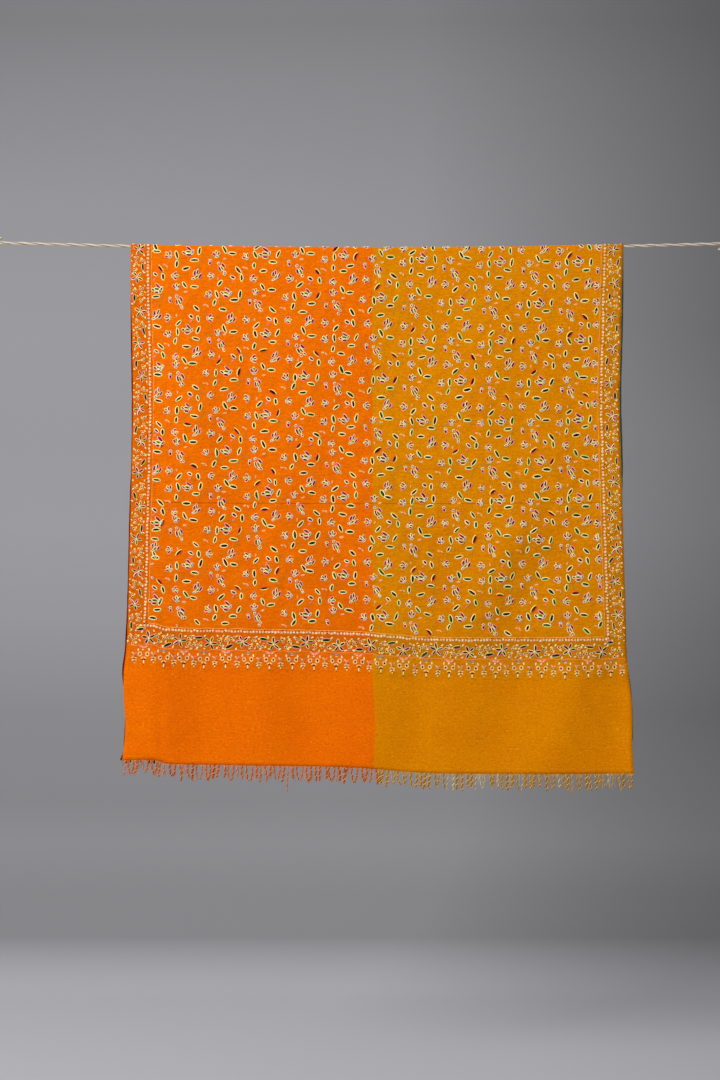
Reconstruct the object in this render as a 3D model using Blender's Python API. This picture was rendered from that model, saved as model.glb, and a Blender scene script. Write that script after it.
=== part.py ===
"""An embroidered pashmina shawl in four dyed colours, folded once over a taut rope.

Metres, +Z up, +X to the right as seen from the front, and the front faces -Y.
The origin is the middle of the rope's centreline, under the shawl's fold.
"""

import math
import random
from collections import namedtuple

import bmesh
import bpy
from mathutils import Vector

# Driving sizes
SHAWL_WIDTH = 1.016  # 40 inches between the selvedges
SHAWL_LENGTH = 2.032  # 80 inches between the two fringed ends
WALL = 0.0012  # the cloth with its stitches
GAP = 0.0003  # between solids that touch
ROPE_DIAMETER = 0.006
ROPE_SAG = 0.0065  # the rope's middle below its height at the selvedges

# Where the cloth turns over the rope
FOLD_RADIUS = ROPE_DIAMETER / 2 + GAP + WALL / 2
FOLD_SIDE = 0.012  # straight part of the fold on each side, down to the falls
FALL_HALF_GAP = 0.0027  # half the distance between the falls once they hang free
CLOSING_DROP = 0.20  # the falls come together down to here

# How finely the cloth is divided
COLUMNS = 28
FALL_ROWS = 23
TURN_STEPS = 8

# Fringe
STRANDS_PER_COLUMN = 4
STRIP_HEIGHT = 0.003
GATHER_LENGTH = 0.006  # where the loose ends run together into a strand
STRAND_LENGTH = 0.034
STRAND_WIDTH = 0.0030
TIP_WIDTH = 0.0018
STRAND_LEAN = 0.0024  # furthest that a tip stands aside
CORNER_SPLAY = 0.010  # the outermost tips spread by this

# Rope
ROPE_LEFT_END = -0.762
ROPE_RIGHT_END = 0.694
ROPE_STEP = 0.020
KNOT_LENGTH = 0.022
KNOT_WIDTH = 0.015
EYE_LENGTH = 0.042
EYE_LEG = 0.004  # straight part of the eye where it leaves the knot
EYE_WIDTH = 0.026
EYE_STEPS = 22

# The selvedges as hung, for each drop below the rope
Edges = namedtuple("Edges", "drop left right")
FRONT_EDGES = [
    Edges(0.000, -0.490, 0.490),
    Edges(0.100, -0.490, 0.487),
    Edges(0.160, -0.488, 0.486),
    Edges(0.300, -0.486, 0.483),
    Edges(0.430, -0.488, 0.486),
    Edges(0.500, -0.490, 0.488),
    Edges(0.570, -0.492, 0.490),
    Edges(0.730, -0.496, 0.495),
    Edges(0.800, -0.499, 0.497),
    Edges(0.840, -0.504, 0.501),
    Edges(0.900, -0.504, 0.507),
    Edges(0.940, -0.501, 0.509),
    Edges(0.980, -0.503, 0.508),
    Edges(1.050, -0.511, 0.512),
]
BACK_EDGES = [
    Edges(0.000, -0.490, 0.491),
    Edges(0.100, -0.491, 0.491),
    Edges(0.160, -0.491, 0.490),
    Edges(0.300, -0.489, 0.487),
    Edges(0.430, -0.490, 0.490),
    Edges(0.500, -0.493, 0.489),
    Edges(0.570, -0.495, 0.490),
    Edges(0.700, -0.498, 0.493),
    Edges(0.800, -0.503, 0.496),
    Edges(0.840, -0.508, 0.500),
    Edges(0.880, -0.505, 0.504),
    Edges(0.920, -0.502, 0.506),
    Edges(1.010, -0.506, 0.509),
]

# The front hem hangs a little lower on the right, because the shawl lies askew
Hem = namedtuple("Hem", "x drop")
FRONT_HEM = [
    Hem(-0.51, 1.019),
    Hem(-0.30, 1.027),
    Hem(-0.05, 1.032),
    Hem(0.10, 1.043),
    Hem(0.30, 1.045),
    Hem(0.51, 1.044),
]

# Soft folds: a line from one point to another, how wide it is, and how far it
# stands towards the viewer, or away where the depth is negative
Fold = namedtuple("Fold", "x_from drop_from x_to drop_to half_width depth")
SHARED_FOLDS = [
    Fold(-0.40, 0.10, -0.34, 0.56, 0.045, 0.0050),
    Fold(-0.29, 0.22, -0.25, 0.66, 0.050, -0.0040),
    Fold(-0.12, 0.02, -0.16, 0.42, 0.060, 0.0035),
    Fold(0.05, 0.04, 0.02, 0.40, 0.070, -0.0030),
    Fold(0.24, 0.03, 0.20, 0.46, 0.060, 0.0040),
    Fold(0.41, 0.08, 0.43, 0.60, 0.050, -0.0045),
    Fold(-0.17, 0.46, 0.03, 0.80, 0.050, -0.0080),
    Fold(-0.07, 0.42, 0.12, 0.72, 0.045, 0.0055),
    Fold(0.13, 0.82, 0.34, 0.44, 0.042, 0.0070),
    Fold(0.21, 0.86, 0.41, 0.50, 0.040, -0.0055),
    Fold(-0.45, 0.68, -0.42, 1.08, 0.045, 0.0070),
    Fold(-0.35, 0.72, -0.33, 1.08, 0.042, -0.0060),
    Fold(-0.24, 0.74, -0.22, 1.08, 0.045, 0.0060),
    Fold(-0.15, 0.72, -0.12, 1.08, 0.045, -0.0065),
    Fold(-0.02, 0.74, -0.01, 1.08, 0.050, 0.0050),
    Fold(0.09, 0.76, 0.07, 1.08, 0.040, -0.0045),
    Fold(0.30, 0.76, 0.21, 1.10, 0.048, -0.0085),
    Fold(0.43, 0.70, 0.33, 1.10, 0.048, 0.0105),
    Fold(0.50, 0.74, 0.46, 1.10, 0.040, -0.0070),
]
# More folds of the back fall, which only stand away from the front one
BACK_FOLDS = [
    Fold(-0.44, 0.30, -0.46, 0.96, 0.040, -0.0040),
    Fold(-0.30, 0.10, -0.36, 0.74, 0.050, -0.0050),
    Fold(-0.08, 0.52, -0.14, 1.06, 0.050, -0.0070),
    Fold(0.12, 0.30, 0.18, 0.82, 0.055, -0.0055),
    Fold(0.33, 0.20, 0.28, 0.66, 0.050, -0.0050),
    Fold(0.38, 0.60, 0.42, 1.06, 0.045, -0.0060),
]
FOLD_FADE = 0.35  # share of a fold's length over which each end fades

# Colours, as linear values
ORANGE = (0.78, 0.13, 0.003)
MUSTARD = (0.60, 0.19, 0.003)
MAROON = (0.23, 0.015, 0.005)
TEAL = (0.06, 0.15, 0.12)
JUTE = (0.62, 0.45, 0.30)

FRONT = -1
BACK = 1


def start_empty():
    """Remove what the file holds, so that it has only the shawl."""
    for old in list(bpy.data.objects):
        bpy.data.objects.remove(old, do_unlink=True)


def material(name, colour, roughness):
    """A plain dyed or natural fibre, with no metal in it."""
    made = bpy.data.materials.new(name)
    made.use_nodes = True
    shader = made.node_tree.nodes["Principled BSDF"]
    shader.inputs["Base Color"].default_value = (*colour, 1.0)
    shader.inputs["Roughness"].default_value = roughness
    shader.inputs["Metallic"].default_value = 0.0
    made.diffuse_color = (*colour, 1.0)
    return made


def smooth(t):
    """A soft step from 0 to 1."""
    t = min(max(t, 0.0), 1.0)
    return t * t * (3.0 - 2.0 * t)


def mix(a, b, t):
    return a + (b - a) * t


def slope_at(rows, by, column, i):
    """The slope of a table's curve at one of its rows."""
    before = rows[max(i - 1, 0)]
    after = rows[min(i + 1, len(rows) - 1)]
    return (getattr(after, column) - getattr(before, column)) / (getattr(after, by) - getattr(before, by))


def read(rows, by, column, at):
    """A smooth curve through a table's rows, which are sorted by one column."""
    at = min(max(at, getattr(rows[0], by)), getattr(rows[-1], by))
    i = max(k for k in range(len(rows) - 1) if getattr(rows[k], by) <= at)
    start, end = getattr(rows[i], by), getattr(rows[i + 1], by)
    low, high = getattr(rows[i], column), getattr(rows[i + 1], column)
    t = (at - start) / (end - start)
    bend_low = slope_at(rows, by, column, i) * (end - start)
    bend_high = slope_at(rows, by, column, i + 1) * (end - start)
    curve = (2 * t**3 - 3 * t**2 + 1) * low + (t**3 - 2 * t**2 + t) * bend_low
    return curve + (-2 * t**3 + 3 * t**2) * high + (t**3 - t**2) * bend_high


def rope_height(x):
    """The loaded rope is a parabola under the cloth and straight beyond it."""
    half = SHAWL_WIDTH / 2
    if abs(x) <= half:
        return ROPE_SAG * (x / half) ** 2
    return ROPE_SAG + (abs(x) - half) * 2 * ROPE_SAG / half


def fold_height(fold, x, drop):
    """How far one soft fold moves the cloth at a point."""
    run = Vector((fold.x_to - fold.x_from, fold.drop_to - fold.drop_from))
    place = Vector((x - fold.x_from, drop - fold.drop_from))
    along = place.dot(run) / run.length_squared
    aside = (place - run * along).length / fold.half_width
    fade = smooth(min(along, 1.0 - along) / FOLD_FADE)
    return fold.depth * math.exp(-aside * aside) * fade


def relief(side, x, drop):
    """How far the cloth stands towards the viewer at a point."""
    folds = SHARED_FOLDS if side == FRONT else SHARED_FOLDS + BACK_FOLDS
    return sum(fold_height(fold, x, drop) for fold in folds)


def hem_drop(side, across):
    """How far below the rope's middle the cloth ends, for a share of its width."""
    x = mix(FRONT_HEM[0].x, FRONT_HEM[-1].x, across)
    front = read(FRONT_HEM, "x", "drop", x)
    if side == FRONT:
        return front
    return SHAWL_LENGTH - math.pi * FOLD_RADIUS - front


def fall_point(side, across, down):
    """A point of a fall's middle surface, from its top left to its bottom right."""
    drop = mix(FOLD_SIDE + GAP, hem_drop(side, across), down)
    edges = FRONT_EDGES if side == FRONT else BACK_EDGES
    left = read(edges, "drop", "left", drop)
    right = read(edges, "drop", "right", drop)
    x = mix(left, right, across)
    apart = mix(FOLD_RADIUS, FALL_HALF_GAP, smooth(drop / CLOSING_DROP))
    settled = smooth((drop - FOLD_SIDE) / CLOSING_DROP)
    y = side * apart - relief(side, x, drop) * settled
    z = rope_height(x) * (1.0 - down) - drop
    return Vector((x, y, z))


def fold_point(across, step, steps):
    """A point of the fold's middle surface, from the front round to the back."""
    side = FRONT if step <= steps // 2 else BACK
    edges = FRONT_EDGES if side == FRONT else BACK_EDGES
    x = mix(edges[0].left, edges[0].right, across)
    height = rope_height(x)
    if step in (0, steps):
        return Vector((x, side * FOLD_RADIUS, height - FOLD_SIDE))
    turn = math.pi * (step - 1) / (steps - 2)
    return Vector((x, -FOLD_RADIUS * math.cos(turn), height + FOLD_RADIUS * math.sin(turn)))


def sheet(name, rows, materials, turn_row=None):
    """A wall of cloth through a grid of points, coloured by its quarter of the shawl."""
    shape = bmesh.new()
    grid = [[shape.verts.new(point) for point in row] for row in rows]
    for row, (upper, lower) in enumerate(zip(grid, grid[1:])):
        behind = turn_row is not None and row >= turn_row
        for i in range(COLUMNS):
            face = shape.faces.new((upper[i], lower[i], lower[i + 1], upper[i + 1]))
            face.material_index = 2 * behind + (i >= COLUMNS // 2)
    bmesh.ops.recalc_face_normals(shape, faces=shape.faces)
    mesh = bpy.data.meshes.new(name)
    shape.to_mesh(mesh)
    shape.free()
    mesh.shade_smooth()
    piece = bpy.data.objects.new(name, mesh)
    bpy.context.scene.collection.objects.link(piece)
    for each in materials:
        mesh.materials.append(each)
    wall = piece.modifiers.new("wall", "SOLIDIFY")
    wall.thickness = WALL
    wall.offset = 0.0
    wall.use_even_offset = True
    return piece


def make_fall(name, side, materials):
    """One half of the shawl, hanging from the fold to its hem."""
    rows = []
    for row in range(FALL_ROWS + 1):
        down = row / FALL_ROWS
        rows.append([fall_point(side, column / COLUMNS, down) for column in range(COLUMNS + 1)])
    return sheet(name, rows, materials)


def make_fold(name, materials):
    """The stretch that goes up, over the rope and down again."""
    steps = TURN_STEPS + 2
    rows = []
    for step in range(steps + 1):
        rows.append([fold_point(column / COLUMNS, step, steps) for column in range(COLUMNS + 1)])
    return sheet(name, rows, materials, turn_row=steps // 2)


def hem_stations(side, first, last):
    """Points just under the hem, one between each two strands of the fringe."""
    ends = [fall_point(side, column / COLUMNS, 1.0) for column in range(first, last + 1)]
    stations = []
    for start, end in zip(ends, ends[1:]):
        for step in range(STRANDS_PER_COLUMN):
            stations.append(start.lerp(end, step / STRANDS_PER_COLUMN))
    stations.append(ends[-1])
    if first > 0:
        stations[0] = stations[0] + Vector((GAP / 2, 0, 0))
    if last < COLUMNS:
        stations[-1] = stations[-1] - Vector((GAP / 2, 0, 0))
    return [point + Vector((0, 0, -GAP)) for point in stations]


def ring(shape, centre, width, depth):
    """Four corners round a strand: front left, front right, back right, back left."""
    corners = ((-1, -1), (1, -1), (1, 1), (-1, 1))
    return [
        shape.verts.new(centre + Vector((i * width / 2, j * depth / 2, 0)))
        for i, j in corners
    ]


def join_rings(shape, upper, lower):
    """The four sides between two rings."""
    for i in range(4):
        j = (i + 1) % 4
        shape.faces.new((upper[i], lower[i], lower[j], upper[j]))


def make_fringe(name, side, first, last, seed, look):
    """A narrow strip along the hem with its strands, fused at their roots."""
    draw = random.Random(seed)
    stations = hem_stations(side, first, last)
    deep = Vector((0, WALL / 2, 0))
    low = Vector((0, 0, -STRIP_HEIGHT))
    shape = bmesh.new()
    top_front = [shape.verts.new(point - deep) for point in stations]
    top_back = [shape.verts.new(point + deep) for point in stations]
    low_front = [shape.verts.new(point - deep + low) for point in stations]
    low_back = [shape.verts.new(point + deep + low) for point in stations]
    shape.faces.new((top_front[0], low_front[0], low_back[0], top_back[0]))
    shape.faces.new((top_front[-1], top_back[-1], low_back[-1], low_front[-1]))
    outer_x = SHAWL_WIDTH / 2
    for i in range(len(stations) - 1):
        shape.faces.new((top_front[i], top_front[i + 1], top_back[i + 1], top_back[i]))
        shape.faces.new((top_front[i], low_front[i], low_front[i + 1], top_front[i + 1]))
        shape.faces.new((top_back[i], top_back[i + 1], low_back[i + 1], low_back[i]))
        root = [low_front[i], low_front[i + 1], low_back[i + 1], low_back[i]]
        middle = (stations[i] + stations[i + 1]) / 2 + low
        near_corner = abs(middle.x) / outer_x
        splay = math.copysign(CORNER_SPLAY * near_corner**12, middle.x)
        length = STRAND_LENGTH * draw.uniform(0.82, 1.0)
        lean = Vector((splay + draw.uniform(-1, 1) * STRAND_LEAN, draw.uniform(-1, 1) * STRAND_LEAN, 0))
        gathered = ring(
            shape,
            middle + lean * (GATHER_LENGTH / length) + Vector((0, 0, -GATHER_LENGTH)),
            STRAND_WIDTH,
            STRAND_WIDTH * 0.7,
        )
        tip = ring(shape, middle + lean + Vector((0, 0, -length)), TIP_WIDTH, TIP_WIDTH * 0.7)
        join_rings(shape, root, gathered)
        join_rings(shape, gathered, tip)
        shape.faces.new(tip)
    bmesh.ops.recalc_face_normals(shape, faces=shape.faces)
    mesh = bpy.data.meshes.new(name)
    shape.to_mesh(mesh)
    shape.free()
    mesh.materials.append(look)
    piece = bpy.data.objects.new(name, mesh)
    bpy.context.scene.collection.objects.link(piece)
    return piece


def tube(name, points, diameter, look, resolution=2):
    """A round rope along a line of points, closed at both ends."""
    line = bpy.data.curves.new(name, "CURVE")
    line.dimensions = "3D"
    line.bevel_depth = diameter / 2
    line.bevel_resolution = resolution
    line.use_fill_caps = True
    spline = line.splines.new("POLY")
    spline.points.add(len(points) - 1)
    for point, place in zip(spline.points, points):
        point.co = (*place, 1.0)
    line.materials.append(look)
    piece = bpy.data.objects.new(name, line)
    bpy.context.scene.collection.objects.link(piece)
    return piece


def make_rope(look):
    """The line itself, from knot to knot."""
    steps = round((ROPE_RIGHT_END - ROPE_LEFT_END) / ROPE_STEP)
    points = []
    for i in range(steps + 1):
        x = mix(ROPE_LEFT_END, ROPE_RIGHT_END, i / steps)
        points.append(Vector((x, 0.0, rope_height(x))))
    return tube("rope_line", points, ROPE_DIAMETER, look)


def outward(end_x):
    """The rope's direction where it leaves the view, pointing away from the shawl."""
    sign = math.copysign(1.0, end_x)
    return Vector((sign, 0.0, 2 * ROPE_SAG / (SHAWL_WIDTH / 2))).normalized()


def make_knot(name, end_x, look):
    """The lump of the overhand loop that ends the line."""
    direction = outward(end_x)
    start = Vector((end_x, 0.0, rope_height(end_x)))
    centre = start + direction * (GAP + KNOT_LENGTH / 2)
    shape = bmesh.new()
    rings, sides = 6, 10
    bmesh.ops.create_uvsphere(shape, u_segments=sides, v_segments=rings, radius=1.0)
    flat_end = math.cos(math.pi / rings)
    for point in shape.verts:
        point.co.z = max(-flat_end, min(flat_end, point.co.z))
        point.co.z *= KNOT_LENGTH / 2 / flat_end
        point.co.x *= KNOT_WIDTH / 2
        point.co.y *= KNOT_WIDTH / 2
    turn = Vector((0, 0, 1)).rotation_difference(direction)
    for point in shape.verts:
        point.co = turn @ point.co + centre
    mesh = bpy.data.meshes.new(name)
    shape.to_mesh(mesh)
    shape.free()
    mesh.shade_smooth()
    mesh.materials.append(look)
    piece = bpy.data.objects.new(name, mesh)
    bpy.context.scene.collection.objects.link(piece)
    return piece


def make_eye(name, end_x, look):
    """The loop beyond the knot, open where it goes back into it."""
    direction = outward(end_x)
    aside = Vector((0, 1, 0))
    start = Vector((end_x, 0.0, rope_height(end_x))) + direction * (KNOT_LENGTH + 2 * GAP)
    foot = ROPE_DIAMETER / 2 + GAP
    points = [start - aside * foot]
    for i in range(EYE_STEPS + 1):
        turn = math.pi * i / EYE_STEPS
        bulge = mix(foot, EYE_WIDTH / 2 - ROPE_DIAMETER / 2, math.sin(turn) ** 0.8)
        reach = EYE_LEG + (EYE_LENGTH - EYE_LEG - ROPE_DIAMETER / 2) * math.sin(turn)
        points.append(start + direction * reach - aside * bulge * math.cos(turn))
    points.append(start + aside * foot)
    return tube(name, points, ROPE_DIAMETER, look)


def build():
    start_empty()
    orange = material("wool_dyed_orange", ORANGE, 0.85)
    mustard = material("wool_dyed_mustard", MUSTARD, 0.85)
    maroon = material("wool_dyed_maroon", MAROON, 0.85)
    teal = material("wool_dyed_teal", TEAL, 0.85)
    jute = material("rope_fibre", JUTE, 0.9)
    middle = COLUMNS // 2

    make_fall("cloth_front_fall", FRONT, (orange, mustard))
    make_fold("cloth_fold", (orange, mustard, maroon, teal))
    make_fall("cloth_back_fall", BACK, (maroon, teal))
    make_fringe("fringe_front_left", FRONT, 0, middle, 11, orange)
    make_fringe("fringe_front_right", FRONT, middle, COLUMNS, 12, mustard)
    make_fringe("fringe_back_left", BACK, 0, middle, 13, maroon)
    make_fringe("fringe_back_right", BACK, middle, COLUMNS, 14, teal)
    make_rope(jute)
    for side, end_x in (("left", ROPE_LEFT_END), ("right", ROPE_RIGHT_END)):
        make_knot(f"rope_knot_{side}", end_x, jute)
        make_eye(f"rope_eye_{side}", end_x, jute)


build()
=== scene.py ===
"""The looks of an embroidered pashmina shawl that hangs folded over a taut rope.

Metres, +Z up, +X to the right as seen from the front, and the front faces -Y.
The origin is the middle of the rope's centreline, under the shawl's fold.
"""

import math
from collections import namedtuple

import bpy
import numpy as np
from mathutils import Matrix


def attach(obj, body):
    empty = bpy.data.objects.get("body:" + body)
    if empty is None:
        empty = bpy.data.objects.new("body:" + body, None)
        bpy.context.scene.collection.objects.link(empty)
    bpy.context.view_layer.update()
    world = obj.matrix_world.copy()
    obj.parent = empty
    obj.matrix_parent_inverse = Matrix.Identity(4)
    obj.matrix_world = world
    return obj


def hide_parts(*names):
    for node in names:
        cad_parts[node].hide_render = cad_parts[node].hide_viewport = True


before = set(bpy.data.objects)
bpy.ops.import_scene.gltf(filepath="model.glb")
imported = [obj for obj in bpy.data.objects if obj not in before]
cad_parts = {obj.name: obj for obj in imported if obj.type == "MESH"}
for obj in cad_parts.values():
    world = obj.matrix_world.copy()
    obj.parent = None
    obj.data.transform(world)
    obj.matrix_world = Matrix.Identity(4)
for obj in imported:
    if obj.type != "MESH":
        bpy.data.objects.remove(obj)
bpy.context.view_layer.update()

# Camera: level and square to the cloth, as the photo was taken
VIEW_DISTANCE = 3.6  # from the lens to the cloth
VIEW_HEIGHT = 2.151  # what the picture spans at the cloth, from top to bottom
VIEW_CENTRE = (-0.034, -0.579)  # x and z of the picture's middle

camera_data = bpy.data.cameras.new("camera")
camera_data.sensor_fit = "VERTICAL"
camera_data.lens = camera_data.sensor_height * VIEW_DISTANCE / VIEW_HEIGHT
camera = bpy.data.objects.new("camera", camera_data)
camera.location = (VIEW_CENTRE[0], -VIEW_DISTANCE, VIEW_CENTRE[1])
camera.rotation_euler = (math.pi / 2, 0.0, 0.0)
bpy.context.scene.collection.objects.link(camera)
bpy.context.scene.camera = camera


# Rope: a 6 mm line of two plies of jute, twisted together and hairy, pulled taut
# between two fixed points. It sags a little under the cloth and carries it all.
ROPE_DIAMETER = 0.006
ROPE_SAG = 0.0065  # its middle lies this far below its height at the selvedges
HALF_CLOTH = 0.508  # half the shawl's width
ROPE_LEFT_END = -0.762
ROPE_RIGHT_END = 0.694
ROPE_STEP = 0.0025
PLY_RADIUS = 0.0018
PLY_OFFSET = 0.00135  # from the rope's centreline to the middle of a ply
ROPE_LAY = 0.066  # one whole turn of the plies
PLY_SIDES = 10
HAIRS = 520
HAIR_LENGTH = 0.0048
HAIR_WIDTH = 0.00016
HAIR_COLOUR = "E6CFAE"

Strand = namedtuple("Strand", "points faces uv depth")
MULTIPLY = {"data_type": "RGBA", "blend_type": "MULTIPLY"}
RANGE = ("Value", "From Min", "From Max", "To Min", "To Max")


def linear(hex_colour):
    """An sRGB hex colour as the linear values that a shader takes."""
    channels = [int(hex_colour[i : i + 2], 16) / 255 for i in (0, 2, 4)]
    return tuple(c / 12.92 if c <= 0.04045 else ((c + 0.055) / 1.055) ** 2.4 for c in channels)


def add_node(tree, kind, settings=None, links=None):
    """Adds a node, with its settings and what goes into its inputs."""
    made = tree.nodes.new(kind)
    for name, value in (settings or {}).items():
        setattr(made, name, value)
    for name, value in (links or {}).items():
        if isinstance(value, bpy.types.NodeSocket):
            tree.links.new(value, made.inputs[name])
        else:
            made.inputs[name].default_value = value
    return made


def start_material(name, roughness, shine, sheen):
    """A dull fibre: its node tree and its shader."""
    made = bpy.data.materials.new(name)
    made.use_nodes = True
    tree = made.node_tree
    shader = tree.nodes["Principled BSDF"]
    shader.inputs["Metallic"].default_value = 0.0
    shader.inputs["IOR"].default_value = 1.5
    shader.inputs["Roughness"].default_value = roughness
    shader.inputs["Specular IOR Level"].default_value = shine
    shader.inputs["Sheen Weight"].default_value = sheen
    return made, tree, shader


def noise_along(tree, wide, long, detail):
    """Noise stretched along the cloth or a thread: how much fits in a metre each way."""
    place = add_node(tree, "ShaderNodeUVMap", {"uv_map": "fibre"})
    stretch = {"Vector": place.outputs["UV"], "Scale": (wide, long, 1)}
    stretched = add_node(tree, "ShaderNodeMapping", links=stretch)
    links = {"Vector": stretched.outputs["Vector"], "Scale": 1.0, "Detail": detail}
    return add_node(tree, "ShaderNodeTexNoise", links=links).outputs["Fac"]


def finish_fibre(tree, shader, marks, tones, relief):
    """Deepens and lightens the mesh's dye along its marks, and raises them: the tones are
    the marks' low and high and what each becomes, the relief its strength and depth."""
    dye = add_node(tree, "ShaderNodeAttribute", {"attribute_name": "dye"})
    tone = add_node(tree, "ShaderNodeMapRange", links=dict(zip(RANGE, (marks, *tones))))
    links = {0: 1.0, 6: dye.outputs["Color"], 7: tone.outputs["Result"]}
    tinted = add_node(tree, "ShaderNodeMix", MULTIPLY, links)
    links = {"Height": marks, "Strength": relief[0], "Distance": relief[1]}
    ridges = add_node(tree, "ShaderNodeBump", links=links)
    tree.links.new(tinted.outputs[2], shader.inputs["Base Color"])
    tree.links.new(ridges.outputs["Normal"], shader.inputs["Normal"])


def smooth(t):
    """A soft step from 0 to 1."""
    t = np.clip(t, 0.0, 1.0)
    return t * t * (3.0 - 2.0 * t)


def mix(a, b, t):
    return a + (b - a) * t


def rope_height(x):
    """The loaded rope is a parabola under the cloth and straight beyond it."""
    under = np.minimum(np.abs(x), HALF_CLOTH)
    beyond = np.maximum(np.abs(x) - HALF_CLOTH, 0.0)
    return ROPE_SAG * (under / HALF_CLOTH) ** 2 + beyond * 2 * ROPE_SAG / HALF_CLOTH


def frames_along(line):
    """Two sideways directions at each point of a line, which turn as little as they can."""
    ahead = np.gradient(line, axis=0)
    ahead /= np.linalg.norm(ahead, axis=1)[:, None]
    side = np.zeros_like(line)
    reference = np.eye(3)[np.argmin(np.abs(ahead[0]))]
    for i, direction in enumerate(ahead):
        aside = reference - direction * np.dot(reference, direction)
        side[i] = aside / np.linalg.norm(aside)
        reference = side[i]
    return side, np.cross(ahead, side)


def twist(line, radius, offset, lay, plies, sides, phase=0.0):
    """Plies wound round a line. Radius may be one value for each point of the line."""
    line = np.asarray(line, dtype=float)
    steps = len(line)
    radius = np.broadcast_to(radius, (steps,))
    run = np.concatenate([[0.0], np.cumsum(np.linalg.norm(np.diff(line, axis=0), axis=1))])
    side, other = frames_along(line)
    around = 2 * np.pi * np.arange(sides) / sides
    points, faces, uv, depth = [], [], [], []
    for ply in range(plies):
        turn = phase + 2 * np.pi * (run / lay + ply / plies)
        outward = side * np.cos(turn)[:, None] + other * np.sin(turn)[:, None]
        sideways = other * np.cos(turn)[:, None] - side * np.sin(turn)[:, None]
        share = radius / radius.max()
        centre = line + outward * (offset * share)[:, None]
        rings = (
            centre[:, None, :]
            + outward[:, None, :] * (np.cos(around)[None, :, None] * radius[:, None, None])
            + sideways[:, None, :] * (np.sin(around)[None, :, None] * radius[:, None, None])
        )
        first = ply * steps * sides
        for i in range(steps - 1):
            for j in range(sides):
                k = (j + 1) % sides
                a = first + i * sides
                b = a + sides
                faces.append((a + j, a + k, b + k, b + j))
        faces.append(tuple(first + j for j in reversed(range(sides))))
        faces.append(tuple(first + (steps - 1) * sides + j for j in range(sides)))
        points.append(rings.reshape(-1, 3))
        along_and_round = np.broadcast_arrays(run[:, None], around[None, :] * radius.max())
        uv.append(np.stack(along_and_round, axis=-1).reshape(-1, 2))
        depth.append(np.broadcast_to(0.5 + 0.5 * np.cos(around)[None, :], (steps, sides)).ravel())
    return Strand(np.concatenate(points), faces, np.concatenate(uv), np.concatenate(depth))


def join(parts):
    """Several parts as one: their points, faces and uv, and their depths or dyes."""
    firsts = np.cumsum([0] + [len(part[0]) for part in parts[:-1]])
    faces = [[first + i for i in face] for part, first in zip(parts, firsts) for face in part[1]]
    points, uv, shades = (np.concatenate([part[column] for part in parts]) for column in (0, 2, 3))
    return Strand(points, faces, uv, shades)


def add_piece(name, points, faces, uv, dye, material, slot):
    """A piece of the shawl or its rope. The uv and dye are given for points or for corners; the dye
    colours include painted shade where a piece has it.
    """
    mesh = bpy.data.meshes.new(name)
    mesh.from_pydata(points.tolist(), [], [tuple(int(i) for i in face) for face in faces])
    mesh.shade_smooth()
    corners = np.empty(len(mesh.loops), dtype=np.int32)
    mesh.loops.foreach_get("vertex_index", corners)
    uv = uv if len(uv) == len(corners) else uv[corners]
    dye = dye if len(dye) == len(corners) else dye[corners]
    layer = mesh.uv_layers.new(name="fibre")
    layer.uv.foreach_set("vector", np.ascontiguousarray(uv, dtype=np.float32).ravel())
    # The dye attribute holds each piece's colours together with any painted shade
    colour = mesh.color_attributes.new(name="dye", type="FLOAT_COLOR", domain="CORNER")
    opaque = np.concatenate([dye, np.ones((len(dye), 1))], axis=1)
    colour.data.foreach_set("color", opaque.astype(np.float32).ravel())
    mesh.materials.append(material)
    piece = bpy.data.objects.new(name, mesh)
    bpy.context.scene.collection.objects.link(piece)
    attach(piece, "root")
    return piece


def shade_between(low, high, share):
    """One colour for each point, from a low one to a high one."""
    return np.array(linear(low)) * (1.0 - share)[:, None] + np.array(linear(high)) * share[:, None]


# Jute, spun and twisted, unfinished: dull and straw-coloured, with painted shade between
# the plies, and with the fibres as fine lines along each ply, drawn 0.5 mm apart so that they show
jute, tree, shader = start_material("jute_twisted_two_ply", roughness=0.85, shine=0.2, sheen=0.1)
shader.inputs["Sheen Roughness"].default_value = 0.5
finish_fibre(tree, shader, noise_along(tree, 90, 2000, 3.0), (0.3, 0.7, 0.60, 1.10), (0.7, 0.0008))

JUTE_LIGHT = "E6D4BC"
# The dark is painted shade where the plies meet
JUTE_PAINTED_SHADE = "24160C"


def shade_plies(line):
    """Jute's colour at each point, with painted shade where the plies meet."""
    return shade_between(JUTE_PAINTED_SHADE, JUTE_LIGHT, smooth(line.depth * 1.5))


draw = np.random.default_rng(21)
steps = round((ROPE_RIGHT_END - ROPE_LEFT_END) / ROPE_STEP)
rope_x = np.linspace(ROPE_LEFT_END, ROPE_RIGHT_END, steps + 1)
route = np.stack([rope_x, np.zeros_like(rope_x), rope_height(rope_x)], axis=1)
# A hand-spun ply is thicker in some places than in others
spun = 1.0 + 0.07 * np.sin(rope_x * 61.0) + 0.05 * np.sin(rope_x * 143.0 + 1.0)
line = twist(route, PLY_RADIUS * spun, PLY_OFFSET, ROPE_LAY, 2, PLY_SIDES)
rope = add_piece("rope_two_ply", *line[:3], shade_plies(line), jute, "rope_fibre")
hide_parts("rope_line")

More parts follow.
